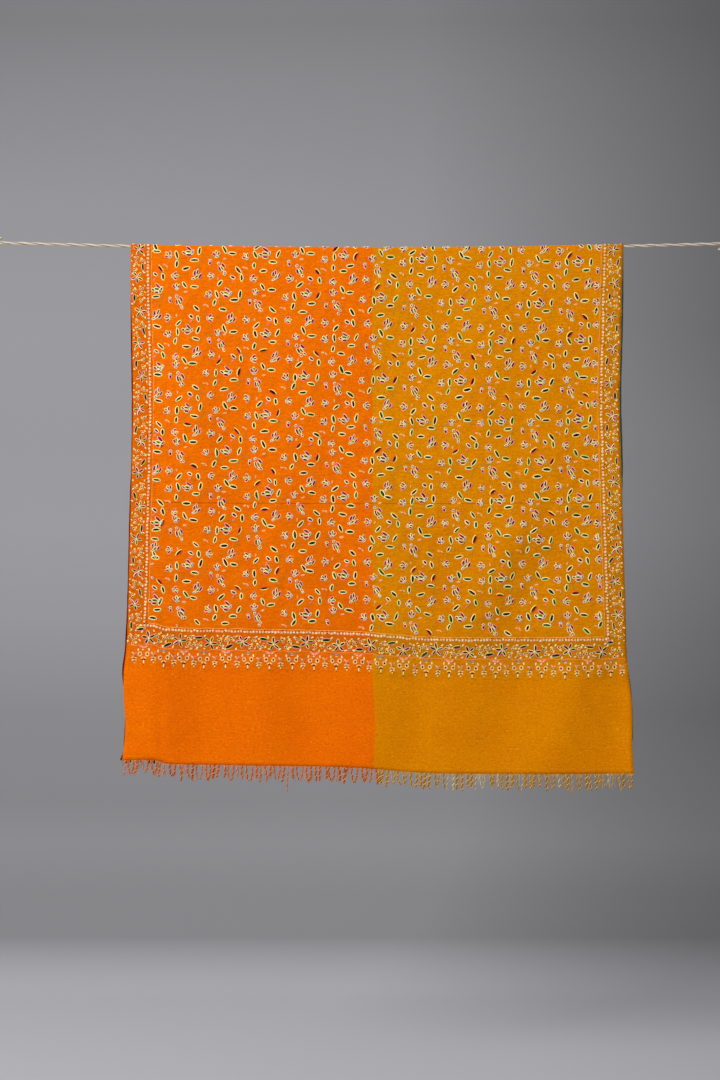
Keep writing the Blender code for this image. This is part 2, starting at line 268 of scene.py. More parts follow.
# Loose jute fibres that stand off the plies
hairs = []
for _ in range(HAIRS):
    x = draw.uniform(ROPE_LEFT_END + 0.01, ROPE_RIGHT_END - 0.01)
    angle = draw.uniform(0, 2 * np.pi)
    root = np.array([x, 0.0, rope_height(x)])
    out = np.array([0.0, math.cos(angle), math.sin(angle)])
    length = HAIR_LENGTH * draw.uniform(0.5, 1.0)
    lean = draw.uniform(-1.0, 1.0) * length
    bow = draw.uniform(0.15, 0.45) * length
    share = np.linspace(0.0, 1.0, 4)[:, None]
    curve_out = out * (PLY_RADIUS + bow * np.sin(share * np.pi * 0.8) + 0.0009 * share)
    hairs.append(twist(root + curve_out + np.array([lean, 0, 0]) * share, HAIR_WIDTH, 0.0, 1.0, 1, 3))
fuzz = join(hairs)
hair_shade = np.tile(linear(HAIR_COLOUR), (len(fuzz.points), 1))
rope_hairs = add_piece("rope_hairs", *fuzz[:3], hair_shade, jute, "rope_fibre")


# Knots and eyes: each end of the line is turned back as a loop and wound three times
# round the standing part, just outside the view, where a hook holds the loop.
KNOT_LENGTH = 0.022
KNOT_WRAPS = 3.2
WRAP_RADIUS = 0.0046  # of the winding's centreline round the standing part
WRAP_PLY = 0.00155
WRAP_OFFSET = 0.00115
WRAP_LAY = 0.030
KNOT_MARGIN = 0.0035  # from each end of the knot to its first and last turn
EYE_LENGTH = 0.042
EYE_WIDTH = 0.026
EYE_LEG = 0.004
SEAM_GAP = 0.0003
EYE_LAY = 0.036
TAIL_LENGTH = 0.016
TAIL_BEND = 0.006

rope_pieces = [rope_hairs]
for side_name, end_x in (("left", ROPE_LEFT_END), ("right", ROPE_RIGHT_END)):
    away = np.array([math.copysign(1.0, end_x), 0.0, 2 * ROPE_SAG / HALF_CLOTH])
    away /= np.linalg.norm(away)
    aside = np.array([0.0, 1.0, 0.0])
    up = np.cross(away, aside)
    start = np.array([end_x, 0.0, float(rope_height(end_x))])

    share = np.linspace(0.0, 1.0, 90)
    turn = 2 * np.pi * KNOT_WRAPS * share
    ease = WRAP_RADIUS * (0.9 + 0.1 * np.sin(np.pi * share))
    reach = KNOT_MARGIN + (KNOT_LENGTH - 2 * KNOT_MARGIN) * share
    winding = (
        start
        + away * reach[:, None]
        + aside * (ease * np.cos(turn))[:, None]
        + up * (ease * np.sin(turn))[:, None]
    )
    exit_way = winding[0] - winding[1] - away * 0.0008
    exit_way /= np.linalg.norm(exit_way)
    tail_share = np.linspace(1.0, 0.06, 14)[:, None]
    tail = winding[0] + exit_way * TAIL_LENGTH * tail_share - away * TAIL_BEND * tail_share**2
    wound = np.concatenate([tail, winding])
    core = start + away * np.linspace(0.0004, KNOT_LENGTH, 12)[:, None]
    knot = join([
        twist(wound, WRAP_PLY, WRAP_OFFSET, WRAP_LAY, 2, PLY_SIDES),
        twist(core, PLY_RADIUS, PLY_OFFSET, ROPE_LAY, 2, PLY_SIDES),
    ])
    knot_name = f"rope_knot_wound_{side_name}"
    knot_piece = add_piece(knot_name, *knot[:3], shade_plies(knot), jute, "rope_fibre")
    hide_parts(f"rope_knot_{side_name}")

    root = start + away * (KNOT_LENGTH + 2 * SEAM_GAP)
    foot = ROPE_DIAMETER / 2 + SEAM_GAP
    turn = np.linspace(0.0, np.pi, 60)
    bulge = mix(foot, EYE_WIDTH / 2 - ROPE_DIAMETER / 2, np.sin(turn) ** 0.8)
    reach = EYE_LEG + (EYE_LENGTH - EYE_LEG - ROPE_DIAMETER / 2) * np.sin(turn)
    loop = root + away * reach[:, None] - aside * (bulge * np.cos(turn))[:, None]
    loop = np.concatenate([[root - aside * foot], loop, [root + aside * foot]])
    eye = twist(loop, PLY_RADIUS * 0.97, PLY_OFFSET, EYE_LAY, 2, PLY_SIDES)
    eye_piece = add_piece(f"rope_eye_loop_{side_name}", *eye[:3], shade_plies(eye), jute, "rope_fibre")
    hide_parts(f"rope_eye_{side_name}")
    rope_pieces += [knot_piece, eye_piece]


# Cloth: one length of fine wool twill, 1.016 m by 2.032 m, woven in one piece and
# dyed in four colours, folded once over the rope with its two halves hanging free.
SHAWL_WIDTH = 1.016
SHAWL_LENGTH = 2.032
CLOTH = 0.0008  # the woven cloth without its stitches
WALL = 0.0012
FOLD_RADIUS = ROPE_DIAMETER / 2 + SEAM_GAP + WALL / 2
FOLD_SIDE = 0.012  # straight part of the fold on each side
FALL_HALF_GAP = 0.0027  # half the distance between the falls once they hang free
CLOSING_DROP = 0.20  # the falls come together down to here
QUARTER_TURN = math.pi * FOLD_RADIUS / 2
PLAIN_END = 0.186  # woven but not embroidered, above each hem
COLUMNS = 130
TURN_ROWS = 4
FALL_ROWS = 138
FRONT = -1
BACK = 1
SIDES = ((FRONT, "front"), (BACK, "back"))

# The selvedges as hung, for each drop below the rope
Edges = namedtuple("Edges", "drop left right")
FRONT_EDGES = [Edges(*row) for row in (
    (0, -0.49, 0.49), (0.1, -0.49, 0.487), (0.16, -0.488, 0.486), (0.3, -0.486, 0.483),
    (0.43, -0.488, 0.486), (0.5, -0.49, 0.488), (0.57, -0.492, 0.49), (0.73, -0.496, 0.495),
    (0.8, -0.499, 0.497), (0.84, -0.504, 0.501), (0.9, -0.504, 0.507), (0.94, -0.501, 0.509),
    (0.98, -0.503, 0.508), (1.05, -0.511, 0.512),
)]
BACK_EDGES = [Edges(*row) for row in (
    (0, -0.49, 0.491), (0.1, -0.491, 0.491), (0.16, -0.491, 0.49), (0.3, -0.489, 0.487),
    (0.43, -0.49, 0.49), (0.5, -0.493, 0.489), (0.57, -0.495, 0.49), (0.7, -0.498, 0.493),
    (0.8, -0.503, 0.496), (0.84, -0.508, 0.502), (0.88, -0.505, 0.507), (0.92, -0.502, 0.5098),
    (1.01, -0.506, 0.5112),
)]

# The front hem hangs a little lower on the right, because the shawl lies askew
Hem = namedtuple("Hem", "x drop")
FRONT_HEM = [Hem(*row) for row in (
    (-0.51, 1.018), (-0.445, 1.017), (-0.418, 1.0245), (-0.3, 1.027), (-0.05, 1.032), (0.1, 1.043),
    (0.3, 1.045), (0.51, 1.044),
)]

# Soft folds: a line from one point to another, how wide it is, and how far it
# stands towards the viewer, or away where the depth is negative
Fold = namedtuple("Fold", "x_from drop_from x_to drop_to half_width depth")
SHARED_FOLDS = [Fold(*row) for row in (
    (-0.4, 0.1, -0.34, 0.56, 0.045, 0.005), (-0.29, 0.22, -0.25, 0.66, 0.05, -0.004),
    (-0.12, 0.02, -0.16, 0.42, 0.06, 0.0035), (0.05, 0.04, 0.02, 0.4, 0.07, -0.003),
    (0.24, 0.03, 0.2, 0.46, 0.06, 0.004), (0.41, 0.08, 0.43, 0.6, 0.05, -0.0045),
    (-0.17, 0.46, 0.03, 0.8, 0.05, -0.008), (-0.07, 0.42, 0.12, 0.72, 0.045, 0.0055),
    (0.13, 0.82, 0.34, 0.44, 0.042, 0.007), (0.21, 0.86, 0.41, 0.5, 0.04, -0.0055),
    (-0.45, 0.68, -0.42, 1.08, 0.045, 0.007), (-0.35, 0.72, -0.33, 1.08, 0.042, -0.0042),
    (-0.24, 0.74, -0.22, 1.08, 0.045, 0.0045), (-0.15, 0.72, -0.12, 1.08, 0.045, -0.0048),
    (-0.02, 0.74, -0.01, 1.08, 0.05, 0.005), (0.09, 0.76, 0.07, 1.08, 0.04, -0.0045),
    (0.3, 0.76, 0.21, 1.1, 0.048, -0.0066), (0.43, 0.7, 0.33, 1.1, 0.048, 0.0085),
    (0.5, 0.74, 0.46, 1.1, 0.04, -0.0056),
)]
BACK_FOLDS = [Fold(*row) for row in (
    (-0.44, 0.3, -0.46, 0.96, 0.04, -0.004), (-0.3, 0.1, -0.36, 0.74, 0.05, -0.005),
    (-0.08, 0.52, -0.14, 1.06, 0.05, -0.007), (0.12, 0.3, 0.18, 0.82, 0.055, -0.0055),
    (0.33, 0.2, 0.28, 0.66, 0.05, -0.005), (0.38, 0.6, 0.42, 1.06, 0.045, -0.006),
)]
# Creases left from storage, and small ones where the cloth hangs askew: narrower
# and sharper than the folds
FRONT_CREASES = [Fold(*row) for row in (
    (-0.62, 0.496, 0.62, 0.506, 0.005, -0.0012), (-0.62, 0.507, 0.62, 0.517, 0.005, 0.0007),
    (-0.6, 0.588, -0.12, 0.594, 0.005, -0.0007), (-0.2, 0.744, 0.62, 0.738, 0.006, -0.0006),
    (-0.396, 0.14, -0.35, 0.28, 0.006, -0.0013), (-0.39, 0.34, -0.338, 0.51, 0.006, -0.0014),
    (-0.15, 0.49, 0.002, 0.7, 0.008, -0.0013), (-0.128, 0.5, 0.03, 0.68, 0.007, 0.0008),
    (0.15, 0.79, 0.262, 0.6, 0.008, -0.0014), (0.238, 0.72, 0.372, 0.45, 0.008, -0.0014),
    (0.3, 0.7, 0.42, 0.52, 0.007, 0.001), (-0.51, 0.986, -0.405, 1.016, 0.0065, 0.0024),
    (-0.432, 0.8, -0.426, 1.08, 0.008, -0.002), (0.395, 0.86, 0.52, 1.04, 0.008, -0.0018),
    (0.345, 0.9, 0.43, 1.06, 0.008, 0.0016), (-0.3, 0.84, -0.275, 1.04, 0.007, -0.001),
    (0.12, 0.88, 0.105, 1.06, 0.007, 0.001),
)]
BACK_CREASES = [Fold(*row) for row in (
    (-0.62, 0.498, 0.62, 0.503, 0.005, 0.0012), (-0.62, 0.508, 0.62, 0.514, 0.005, -0.0007),
    (0.1, 0.604, 0.6, 0.598, 0.005, 0.0008), (-0.6, 0.742, 0.1, 0.748, 0.006, 0.0006),
    (0.372, 0.16, 0.335, 0.33, 0.006, 0.0013), (0.16, 0.44, 0.02, 0.66, 0.008, 0.0013),
    (-0.19, 0.74, -0.3, 0.52, 0.008, 0.0014), (-0.28, 0.7, -0.4, 0.46, 0.007, -0.0011),
    (0.45, 0.88, 0.33, 0.98, 0.007, -0.0014), (-0.41, 0.84, -0.5, 0.99, 0.008, 0.0016),
    (0.06, 0.82, 0.08, 0.98, 0.007, 0.001),
)]
FOLD_FADE = 0.35  # share of a fold's length over which each end fades

# The stitches pull the cloth into shallow puckers, and the selvedges ripple
PUCKER_WAVES = 64
PUCKER_SIZES = (0.015, 0.052)
PUCKER_DEPTH = 0.0008
RIPPLE_DEPTH = 0.0016
RIPPLE_REACH = 0.022


def curve(rows, column, at):
    """A smooth curve through one column of a table, which is sorted by its first one."""
    by = np.array([row[0] for row in rows])
    value = np.array([getattr(row, column) for row in rows])
    before = np.maximum(np.arange(len(by)) - 1, 0)
    after = np.minimum(np.arange(len(by)) + 1, len(by) - 1)
    slope = (value[after] - value[before]) / (by[after] - by[before])
    at = np.clip(at, by[0], by[-1])
    i = np.clip(np.searchsorted(by, at, side="right") - 1, 0, len(by) - 2)
    span = by[i + 1] - by[i]
    t = (at - by[i]) / span
    rise = (2 * t**3 - 3 * t**2 + 1) * value[i] + (t**3 - 2 * t**2 + t) * slope[i] * span
    return rise + (-2 * t**3 + 3 * t**2) * value[i + 1] + (t**3 - t**2) * slope[i + 1] * span


def folds_height(folds, x, drop):
    """How far a table's soft folds move the cloth at each point."""
    height = np.zeros_like(x)
    for fold in folds:
        run_x = fold.x_to - fold.x_from
        run_drop = fold.drop_to - fold.drop_from
        length = run_x**2 + run_drop**2
        along = ((x - fold.x_from) * run_x + (drop - fold.drop_from) * run_drop) / length
        aside = ((x - fold.x_from) * run_drop - (drop - fold.drop_from) * run_x) / math.sqrt(length)
        fade = smooth(np.minimum(along, 1.0 - along) / FOLD_FADE)
        height += fold.depth * np.exp(-((aside / fold.half_width) ** 2)) * fade
    return height


def hem_drop(side, across):
    """How far below the rope's middle the cloth ends, for a share of its width."""
    x = mix(FRONT_HEM[0].x, FRONT_HEM[-1].x, across)
    front = curve(FRONT_HEM, "drop", x)
    return np.where(side == FRONT, front, SHAWL_LENGTH - 2 * QUARTER_TURN - front)


def edge_lines(side, drop):
    """Where the two selvedges hang at a drop."""
    return [
        np.where(side == FRONT, curve(FRONT_EDGES, edge, drop), curve(BACK_EDGES, edge, drop))
        for edge in ("left", "right")
    ]


pucker_draw = np.random.default_rng(8)
pucker_size = pucker_draw.uniform(*PUCKER_SIZES, PUCKER_WAVES)
pucker_way = pucker_draw.uniform(0, np.pi, PUCKER_WAVES)
pucker_phase = pucker_draw.uniform(0, 2 * np.pi, PUCKER_WAVES)


def pucker(x, v):
    """Shallow uneven dents, as long as they are wide."""
    height = np.zeros_like(x)
    for size, way, phase in zip(pucker_size, pucker_way, pucker_phase):
        height += np.sin(2 * np.pi * (x * math.cos(way) + v * math.sin(way)) / size + phase)
    return height * math.sqrt(2 / PUCKER_WAVES)


def lay_cloth(across, v):
    """The cloth's middle surface, for a share of its width and a distance along it from
    the top of the fold, which is positive in front."""
    side = np.where(v > 0, FRONT, BACK)
    turn = np.minimum(np.abs(v) / FOLD_RADIUS, np.pi / 2)
    drop = np.maximum(np.abs(v) - QUARTER_TURN, 0.0)
    left, right = edge_lines(side, drop)
    x = mix(left, right, across)
    hem = hem_drop(side, across)
    down = np.clip((drop - FOLD_SIDE) / (hem - FOLD_SIDE), 0.0, 1.0)
    apart = mix(FOLD_RADIUS, FALL_HALF_GAP, smooth(drop / CLOSING_DROP)) * np.sin(turn)
    settled = smooth((drop - FOLD_SIDE) / CLOSING_DROP)
    folds = folds_height(SHARED_FOLDS, x, drop)
    folds += np.where(side == FRONT, 0.0, folds_height(BACK_FOLDS, x, drop))
    creases = np.where(
        side == FRONT, folds_height(FRONT_CREASES, x, drop), folds_height(BACK_CREASES, x, drop)
    )
    stitched = mix(0.35, 1.0, smooth((hem - PLAIN_END - drop) / 0.02 + 0.5))
    loose = smooth(drop / 0.03)
    dents = pucker(x, v) * PUCKER_DEPTH * stitched * loose
    from_edge = np.minimum(x - left, right - x)
    # Two ripples along each selvedge, 71 mm and 42 mm long
    ripple = np.sin(v * 88.0 + across * 3.0) + 0.6 * np.sin(v * 151.0 + across * 5.0)
    ripple *= RIPPLE_DEPTH * 0.6 * np.exp(-from_edge / RIPPLE_REACH) * loose
    y = side * apart - folds * settled - (creases + dents + ripple) * loose
    z = rope_height(x) * (1.0 - down) - drop + FOLD_RADIUS * np.cos(turn)
    return np.stack([x, y, z], axis=-1)


# The grid runs from the back hem, over the fold, to the front hem
row_count = 2 * (TURN_ROWS + FALL_ROWS) + 1
middle_row = TURN_ROWS + FALL_ROWS
across = np.broadcast_to(np.linspace(0.0, 1.0, COLUMNS + 1), (row_count, COLUMNS + 1))
row_number = np.arange(row_count)[:, None] - middle_row
row_side = np.where(row_number > 0, FRONT, BACK)
turn_share = np.minimum(np.abs(row_number) / TURN_ROWS, 1.0)
fall_share = np.maximum(np.abs(row_number) - TURN_ROWS, 0) / FALL_ROWS
distance = turn_share * QUARTER_TURN + fall_share * hem_drop(row_side, across)
along_cloth = np.where(row_number > 0, distance, -distance)
cloth_points = lay_cloth(across, along_cloth)
slope_across = np.gradient(cloth_points, axis=1)
slope_along = np.gradient(cloth_points, axis=0)
cloth_normals = np.cross(slope_along, slope_across)
cloth_normals /= np.linalg.norm(cloth_normals, axis=2, keepdims=True)

corner = (np.arange(row_count - 1)[:, None] * (COLUMNS + 1) + np.arange(COLUMNS)).ravel()
cloth_faces = np.stack([corner, corner + COLUMNS + 1, corner + COLUMNS + 2, corner + 1], axis=1)
flat_place = np.stack([(across - 0.5) * SHAWL_WIDTH, along_cloth], axis=-1).reshape(-1, 2)

# Wool twill, dyed in the piece in four colours, brushed: dull, with no gloss and only
# a faint bloom at grazing angles. Its threads are 0.4 mm apart and are drawn 1.6 mm
# apart, so that they show. It is crimped by its stitches, and slubs lie across it.
Dye = namedtuple("Dye", "deep light")
ORANGE = Dye("E66200", "F47800")
MUSTARD = Dye("D67600", "E29000")
MAROON = Dye("600E06", "7C1A0A")
TEAL = Dye("38625A", "46746A")
HALVES_MEET = -0.008  # where orange meets mustard, from the middle of the width
BLEED = 0.0012  # how far a dye runs past that line
TWILL_SPACING = 0.0016
CREASE = 0.514  # the sharp middle of the storage crease, along the cloth
CREASE_WIDTH = 0.0022

wool, tree, shader = start_material("wool_twill_dyed", roughness=0.9, shine=0.03, sheen=0.02)
shader.inputs["Sheen Roughness"].default_value = 0.45
shader.inputs["Sheen Tint"].default_value = (*linear("FFC080"), 1.0)
place = add_node(tree, "ShaderNodeUVMap", {"uv_map": "fibre"})
parts = add_node(tree, "ShaderNodeSeparateXYZ", links={0: place.outputs["UV"]})
# The colours of the mesh hold the tone, with its painted shade, how light the dye is and how
# closely it is stitched, as three numbers
region = add_node(tree, "ShaderNodeAttribute", {"attribute_name": "dye"})
made_of = add_node(tree, "ShaderNodeSeparateXYZ", links={0: region.outputs["Color"]})
marks = {}
for name, wide, long, detail in (  # how many fit in a metre, across and along
    ("streaks", 18, 320, 3.0),
    ("crimp", 75, 190, 3.0),
    ("grain", 300, 360, 2.0),
    ("clouds", 11, 11, 4.0),
    ("specks", 160, 310, 1.0),
):
    marks[name] = noise_along(tree, wide, long, detail)
for name, *values in (  # what goes in, its low and high, and what each becomes
    ("run", marks["streaks"], 0.25, 0.75, -BLEED, BLEED),
    ("front", parts.outputs["Y"], -0.003, 0.001, 0.0, 1.0),
    ("cloud share", marks["clouds"], 0.3, 0.7, -0.16, 0.16),
    ("streak share", marks["streaks"], 0.3, 0.7, -0.14, 0.14),
    ("crimp share", marks["crimp"], 0.3, 0.7, -0.30, 0.30),
    ("grain share", marks["grain"], 0.3, 0.7, -0.42, 0.42),
    ("bright", marks["specks"], 0.60, 0.72, 1.0, 1.22),
    ("dark", marks["specks"], 0.28, 0.40, 0.80, 1.0),
    ("crimped", made_of.outputs["Z"], 0.0, 1.0, 0.25, 1.0),
    ("crimp", marks["crimp"], 0.0, 1.0, -0.5, 0.5),
    ("above crease", parts.outputs["Y"], CREASE - CREASE_WIDTH, CREASE, 0.0, 1.0),
    ("below crease", parts.outputs["Y"], CREASE, CREASE + CREASE_WIDTH, 1.0, 0.0),
):
    marks[name] = add_node(tree, "ShaderNodeMapRange", links=dict(zip(RANGE, values))).outputs["Result"]
share = made_of.outputs["Y"]
for name in ("cloud share", "streak share", "grain share"):
    share = add_node(tree, "ShaderNodeMath", {"operation": "ADD"}, {0: share, 1: marks[name]}).outputs[0]
share = add_node(
    tree,
    "ShaderNodeMath",
    {"operation": "MULTIPLY_ADD", "use_clamp": True},
    {0: marks["crimp share"], 1: marks["crimped"], 2: share},
).outputs[0]
shifted = add_node(tree, "ShaderNodeMath", {"operation": "ADD"}, {0: parts.outputs["X"], 1: marks["run"]})
values = (shifted.outputs[0], HALVES_MEET - BLEED, HALVES_MEET + BLEED)
right_half = add_node(tree, "ShaderNodeMapRange", links=dict(zip(RANGE, values))).outputs["Result"]
dyes = [
    add_node(
        tree,
        "ShaderNodeMix",
        {"data_type": "RGBA"},
        {0: share, 6: (*linear(dye.deep), 1.0), 7: (*linear(dye.light), 1.0)},
    ).outputs[2]
    for dye in (ORANGE, MUSTARD, MAROON, TEAL)
]
front_dye, back_dye = [
    add_node(tree, "ShaderNodeMix", {"data_type": "RGBA"}, {0: right_half, 6: left_one, 7: right_one})
    for left_one, right_one in (dyes[:2], dyes[2:])
]
links = {0: marks["front"], 6: back_dye.outputs[2], 7: front_dye.outputs[2]}
shaded = add_node(tree, "ShaderNodeMix", {"data_type": "RGBA"}, links)
# The mesh's tone darkens the borders and the lower field: painted shade and painted falloff of light
for tone in (made_of.outputs["X"], marks["bright"], marks["dark"]):
    shaded = add_node(tree, "ShaderNodeMix", MULTIPLY, {0: 1.0, 6: shaded.outputs[2], 7: tone})
twill_turn = add_node(
    tree,
    "ShaderNodeMapping",
    links={"Vector": place.outputs["UV"], "Rotation": (0, 0, math.radians(58))},
)
twill = add_node(
    tree,
    "ShaderNodeTexWave",
    links={
        "Vector": twill_turn.outputs["Vector"],
        "Scale": 2 * math.pi / 20 / TWILL_SPACING,
        "Distortion": 1.2,
        "Detail": 1.0,
    },
)
crimped, creased = [
    add_node(tree, "ShaderNodeMath", {"operation": "MULTIPLY"}, {0: marks[a], 1: marks[b]}).outputs[0]
    for a, b in (("crimp", "crimped"), ("above crease", "below crease"))
]
surface = marks["grain"]
for mark, height in (  # how much each stands out, against the grain
    (twill.outputs["Fac"], 0.4),
    (marks["streaks"], 0.8),
    (crimped, 2.2),
    (creased, -2.5),
):
    surface = add_node(
        tree, "ShaderNodeMath", {"operation": "MULTIPLY_ADD"}, {0: mark, 1: height, 2: surface}
    ).outputs[0]
relief = add_node(tree, "ShaderNodeBump", links={"Height": surface, "Strength": 0.8, "Distance": 0.0009})
tree.links.new(shaded.outputs[2], shader.inputs["Base Color"])
tree.links.new(relief.outputs["Normal"], shader.inputs["Normal"])

# The borders' ground is darker between their close stitches: painted shade of the stitches
LEFT_FRAME = 0.0415  # the lines that frame the field, from the selvedges
RIGHT_FRAME = 0.0430
END_LINE = 0.271  # and from the hems
END_VINE = 0.228  # the outer edge of the end borders, from the hems
FIELD_TONE = 0.97  # how much of its tone the field keeps, and how dark the painted shade of the close stitches makes the borders
BORDER_PAINTED_SHADE = 0.84
FIELD_LIGHT = 0.56  # how light the dye is in the field, and at the plain ends
PLAIN_LIGHT = 0.40
FIELD_PAINTED_FALLOFF = 0.05  # the field is this much darker at its lower end: painted falloff of light
SOFTNESS = 0.006
from_hem = hem_drop(row_side, across) - fall_share * hem_drop(row_side, across)
from_side = np.minimum(
    across * SHAWL_WIDTH - LEFT_FRAME * SHAWL_WIDTH / 0.98, (1 - across) * SHAWL_WIDTH - RIGHT_FRAME
)
outside_field = np.maximum(
    smooth(0.5 - from_side / SOFTNESS), smooth(0.5 - (from_hem - END_LINE) / SOFTNESS)
)
worked = smooth(0.5 + (from_hem - END_VINE) / SOFTNESS) * outside_field
stitched_here = smooth(0.5 + (from_hem - PLAIN_END) / 0.02)
field_tone_and_falloff = FIELD_TONE - FIELD_PAINTED_FALLOFF * smooth(1.5 - from_hem / 0.5)
cloth_tone_and_shade = np.stack([
    mix(1.0, BORDER_PAINTED_SHADE, worked) * mix(1.0, field_tone_and_falloff, stitched_here),
    mix(PLAIN_LIGHT, FIELD_LIGHT, stitched_here),
    stitched_here,
], axis=-1).reshape(-1, 3)

cloth_shape = (cloth_points.reshape(-1, 3), cloth_faces, flat_place)
shawl = add_piece("shawl_cloth", *cloth_shape, cloth_tone_and_shade, wool, "wool_orange")
wall = shawl.modifiers.new("cloth_thickness", "SOLIDIFY")
wall.thickness = CLOTH
wall.offset = 0.0
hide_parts("cloth_front_fall", "cloth_fold", "cloth_back_fall")


# Embroidered field: sprays of leaves, buds and flowers in silk, worked by hand, each
# leaf and petal a raised outline with a dark heart. The spray repeats in a half-drop.
MM = 0.001
COLUMN_STEP = 0.1555
ROW_STEP = 0.0778
FIRST_COLUMN = -0.3765
FIRST_ROW = 0.0329  # drop of the first row of tulips, without the bow of the top rows
ARCH = 0.0693  # the rows curve, because the cloth hangs askew
ARCH_MIDDLE = 0.225
ROWS_TO_SETTLE = 4.5  # the top rows follow the fold, and those below them the arch
RIM = 0.0020  # width of a leaf's outline
FINE_RIM = 0.0016  # and of a petal's
CREST = 0.0012  # how far its middle stands off the cloth
SPRAY_SHIFT = 0.0013  # how far a flower or leaf strays from its place, as by hand
SPRAY_TURN = 6.0  # and how far it is turned, in degrees
STITCH_SHIFT = 0.0003  # the same for each petal in it
STITCH_TURN = 4.0
SPRAY_SIZES = (0.95, 1.06)
PETAL_LENGTHS = (0.93, 1.08)
PETAL_WIDTHS = (0.92, 1.08)
LIME_SHARE = 0.35  # of the green leaves that are worked in lime
RED_SHARE = 0.42  # and in red, of the others
CORAL_SHARE = 0.4  # of the red leaves that are worked in coral or green
YELLOWER_SHARE = 0.6  # of the leaves on the mustard half
SQUEEZED = 0.009  # what crosses the frame by less than this is worked inside it

Bow = namedtuple("Bow", "x drop")
TOP_ROW = [Bow(*row) for row in (
    (-0.44, 0.0095), (-0.28, 0.011), (-0.1, 0.0133), (0.09, 0.0213), (0.25, 0.0278), (0.33, 0.0308),
    (0.41, 0.0285),
)]

THREADS = {
    "cream": "FFF8BC", "straw": "FFF084", "primrose": "F6F088", "lime": "DCE070", "olive": "7E9428",
    "fern": "46641A", "bottle": "060903", "moss": "2A330A", "coral": "F0503A", "rose": "FF9C98",
    "blush": "FFD2B4", "magenta": "98063C", "maroon": "580300", "plum": "24020C", "lilac": "E2D8D2",
    "slate": "8D9AA2", "peach": "FFC284", "salmon": "FF9450", "stem": "98803A", "gold": "FFB050",
    "stone": "A09C84",
}
DYES = {name: np.array(linear(value)) for name, value in THREADS.items()}

# What each kind of petal is stitched in: its outline and its heart, each in two halves
Look = namedtuple("Look", "rim_left rim_right heart_left heart_right")
LOOK_THREADS = {
    "green leaf": "cream straw bottle moss", "lime leaf": "cream straw fern bottle",
    "red leaf": "cream straw maroon plum", "coral leaf": "straw coral maroon bottle",
    "pink petal": "blush rose magenta plum", "rose petal": "rose cream magenta plum",
    "lime petal": "cream straw olive bottle", "dark petal": "cream blush plum bottle",
    "base": "lilac cream slate bottle", "peach": "peach peach peach salmon",
    "rose": "rose rose rose coral",
}
LOOKS = {name: Look(*threads.split()) for name, threads in LOOK_THREADS.items()}
# On the right half the leaves are outlined and filled in yellower greens
RIGHT_HALF = {"cream": "primrose", "straw": "lime", "moss": "fern"}

Petal = namedtuple("Petal", "x v length width angle look")
FIELD_CHARTS = {
    "tulip": [
        (2, -6.4, 15, 6.8, -42, "pink petal"), (-0.5, -0.4, 12.5, 7.2, -14, "lime petal"),
        (-0.5, 6.2, 12.5, 7, -8, "rose petal"), (-8.4, 0.6, 9.5, 6.2, -35, "dark petal"),
        (8, 0.4, 10.5, 5.6, 62, "base"),
    ],
    "bud": [
        (-4.6, -0.8, 9.6, 6, 125, "pink petal"), (0, -3.4, 9.4, 5.8, 90, "lime petal"),
        (4.6, -0.8, 9.6, 6, 50, "rose petal"), (0, 4.4, 8.8, 4.8, 0, "base"),
    ],
    "long flower": [
        (-5, -9.6, 7, 5.6, 40, "base"), (4.4, -4.2, 13, 6.6, -55, "pink petal"),
        (-3.9, 1.6, 13.5, 6.4, -75, "rose petal"), (1.4, 1.6, 14.5, 6.4, -62, "lime petal"),
        (5.6, 9.6, 9, 5.4, -48, "dark petal"),
    ],
    "round flower": [
        (-5.2, -3.4, 12, 6.4, 75, "pink petal"), (0.6, -6.4, 12.5, 6, 82, "dark petal"),
        (6, 1, 12.5, 6.6, 62, "pink petal"), (-0.8, 3.4, 12.5, 6.4, 45, "lime petal"),
        (-5.4, 6.8, 9, 5.4, 20, "base"),
    ],
    "small bud": [(0, -3.4, 7.6, 5, 0, "base"), (0.4, 2.2, 9, 7, -70, "pink petal")],
    "leaf": [(0, 0, 17.8, 8.4, 0, "green leaf")],
    "red leaf": [(0, 0, 17.4, 8.2, 0, "red leaf")],
    "short leaf": [(0, 0, 15, 8.2, 0, "green leaf")],
    "dark leaf": [(0, 0, 12.5, 7.6, 0, "dark petal"), (4, 8.5, 6.6, 3.2, 70, "rose")],
    "tail": [(0, 0, 7, 5.2, 0, "dark petal")],
    "arc": [(-3, 0.4, 7.4, 3.2, -8, "peach"), (2.8, 2.4, 7.4, 3.2, -48, "peach")],
    "dash": [(0, 0, 9, 3.8, 0, "peach")],
    "short dash": [(0, 0, 6.5, 3.4, 0, "peach")],
}

CHARTS = {name: [Petal(*row) for row in rows] for name, rows in FIELD_CHARTS.items()}

# One spray, in millimetres from its tulip, for the rows that start with a whole one
# and for those between, which lie half a step aside. The turn is anticlockwise.
Placed = namedtuple("Placed", "chart x v turn")
EVEN_SPRAY = [Placed(*row) for row in (
    ("tulip", 0, 0, 0), ("bud", -39, 6, 42), ("leaf", -20.5, 3, 98), ("red leaf", 24, -1, 76),
    ("leaf", 15, 16, -2), ("short leaf", -23, 23, 82), ("red leaf", -3, 32.5, 0), ("arc", -40, 26.5, 0),
    ("red leaf", -55, 32.5, -43), ("short leaf", -49, 49, -83), ("dark leaf", -65, 45.5, -38),
    ("bud", -25, 50, -90), ("round flower", 18.5, 45, 0), ("bud", 47, 48, 90),
    ("small bud", 44.5, 18, 0), ("bud", 58, 3, 0), ("leaf", 74, -7, -63), ("leaf", 90, 0, -4),
    ("dash", 73, 10, 8), ("long flower", 66.5, 30, 0), ("tail", 71, 41, -45),
    ("red leaf", 66.5, 61, 42), ("short dash", 61.5, 51, 88),
)]
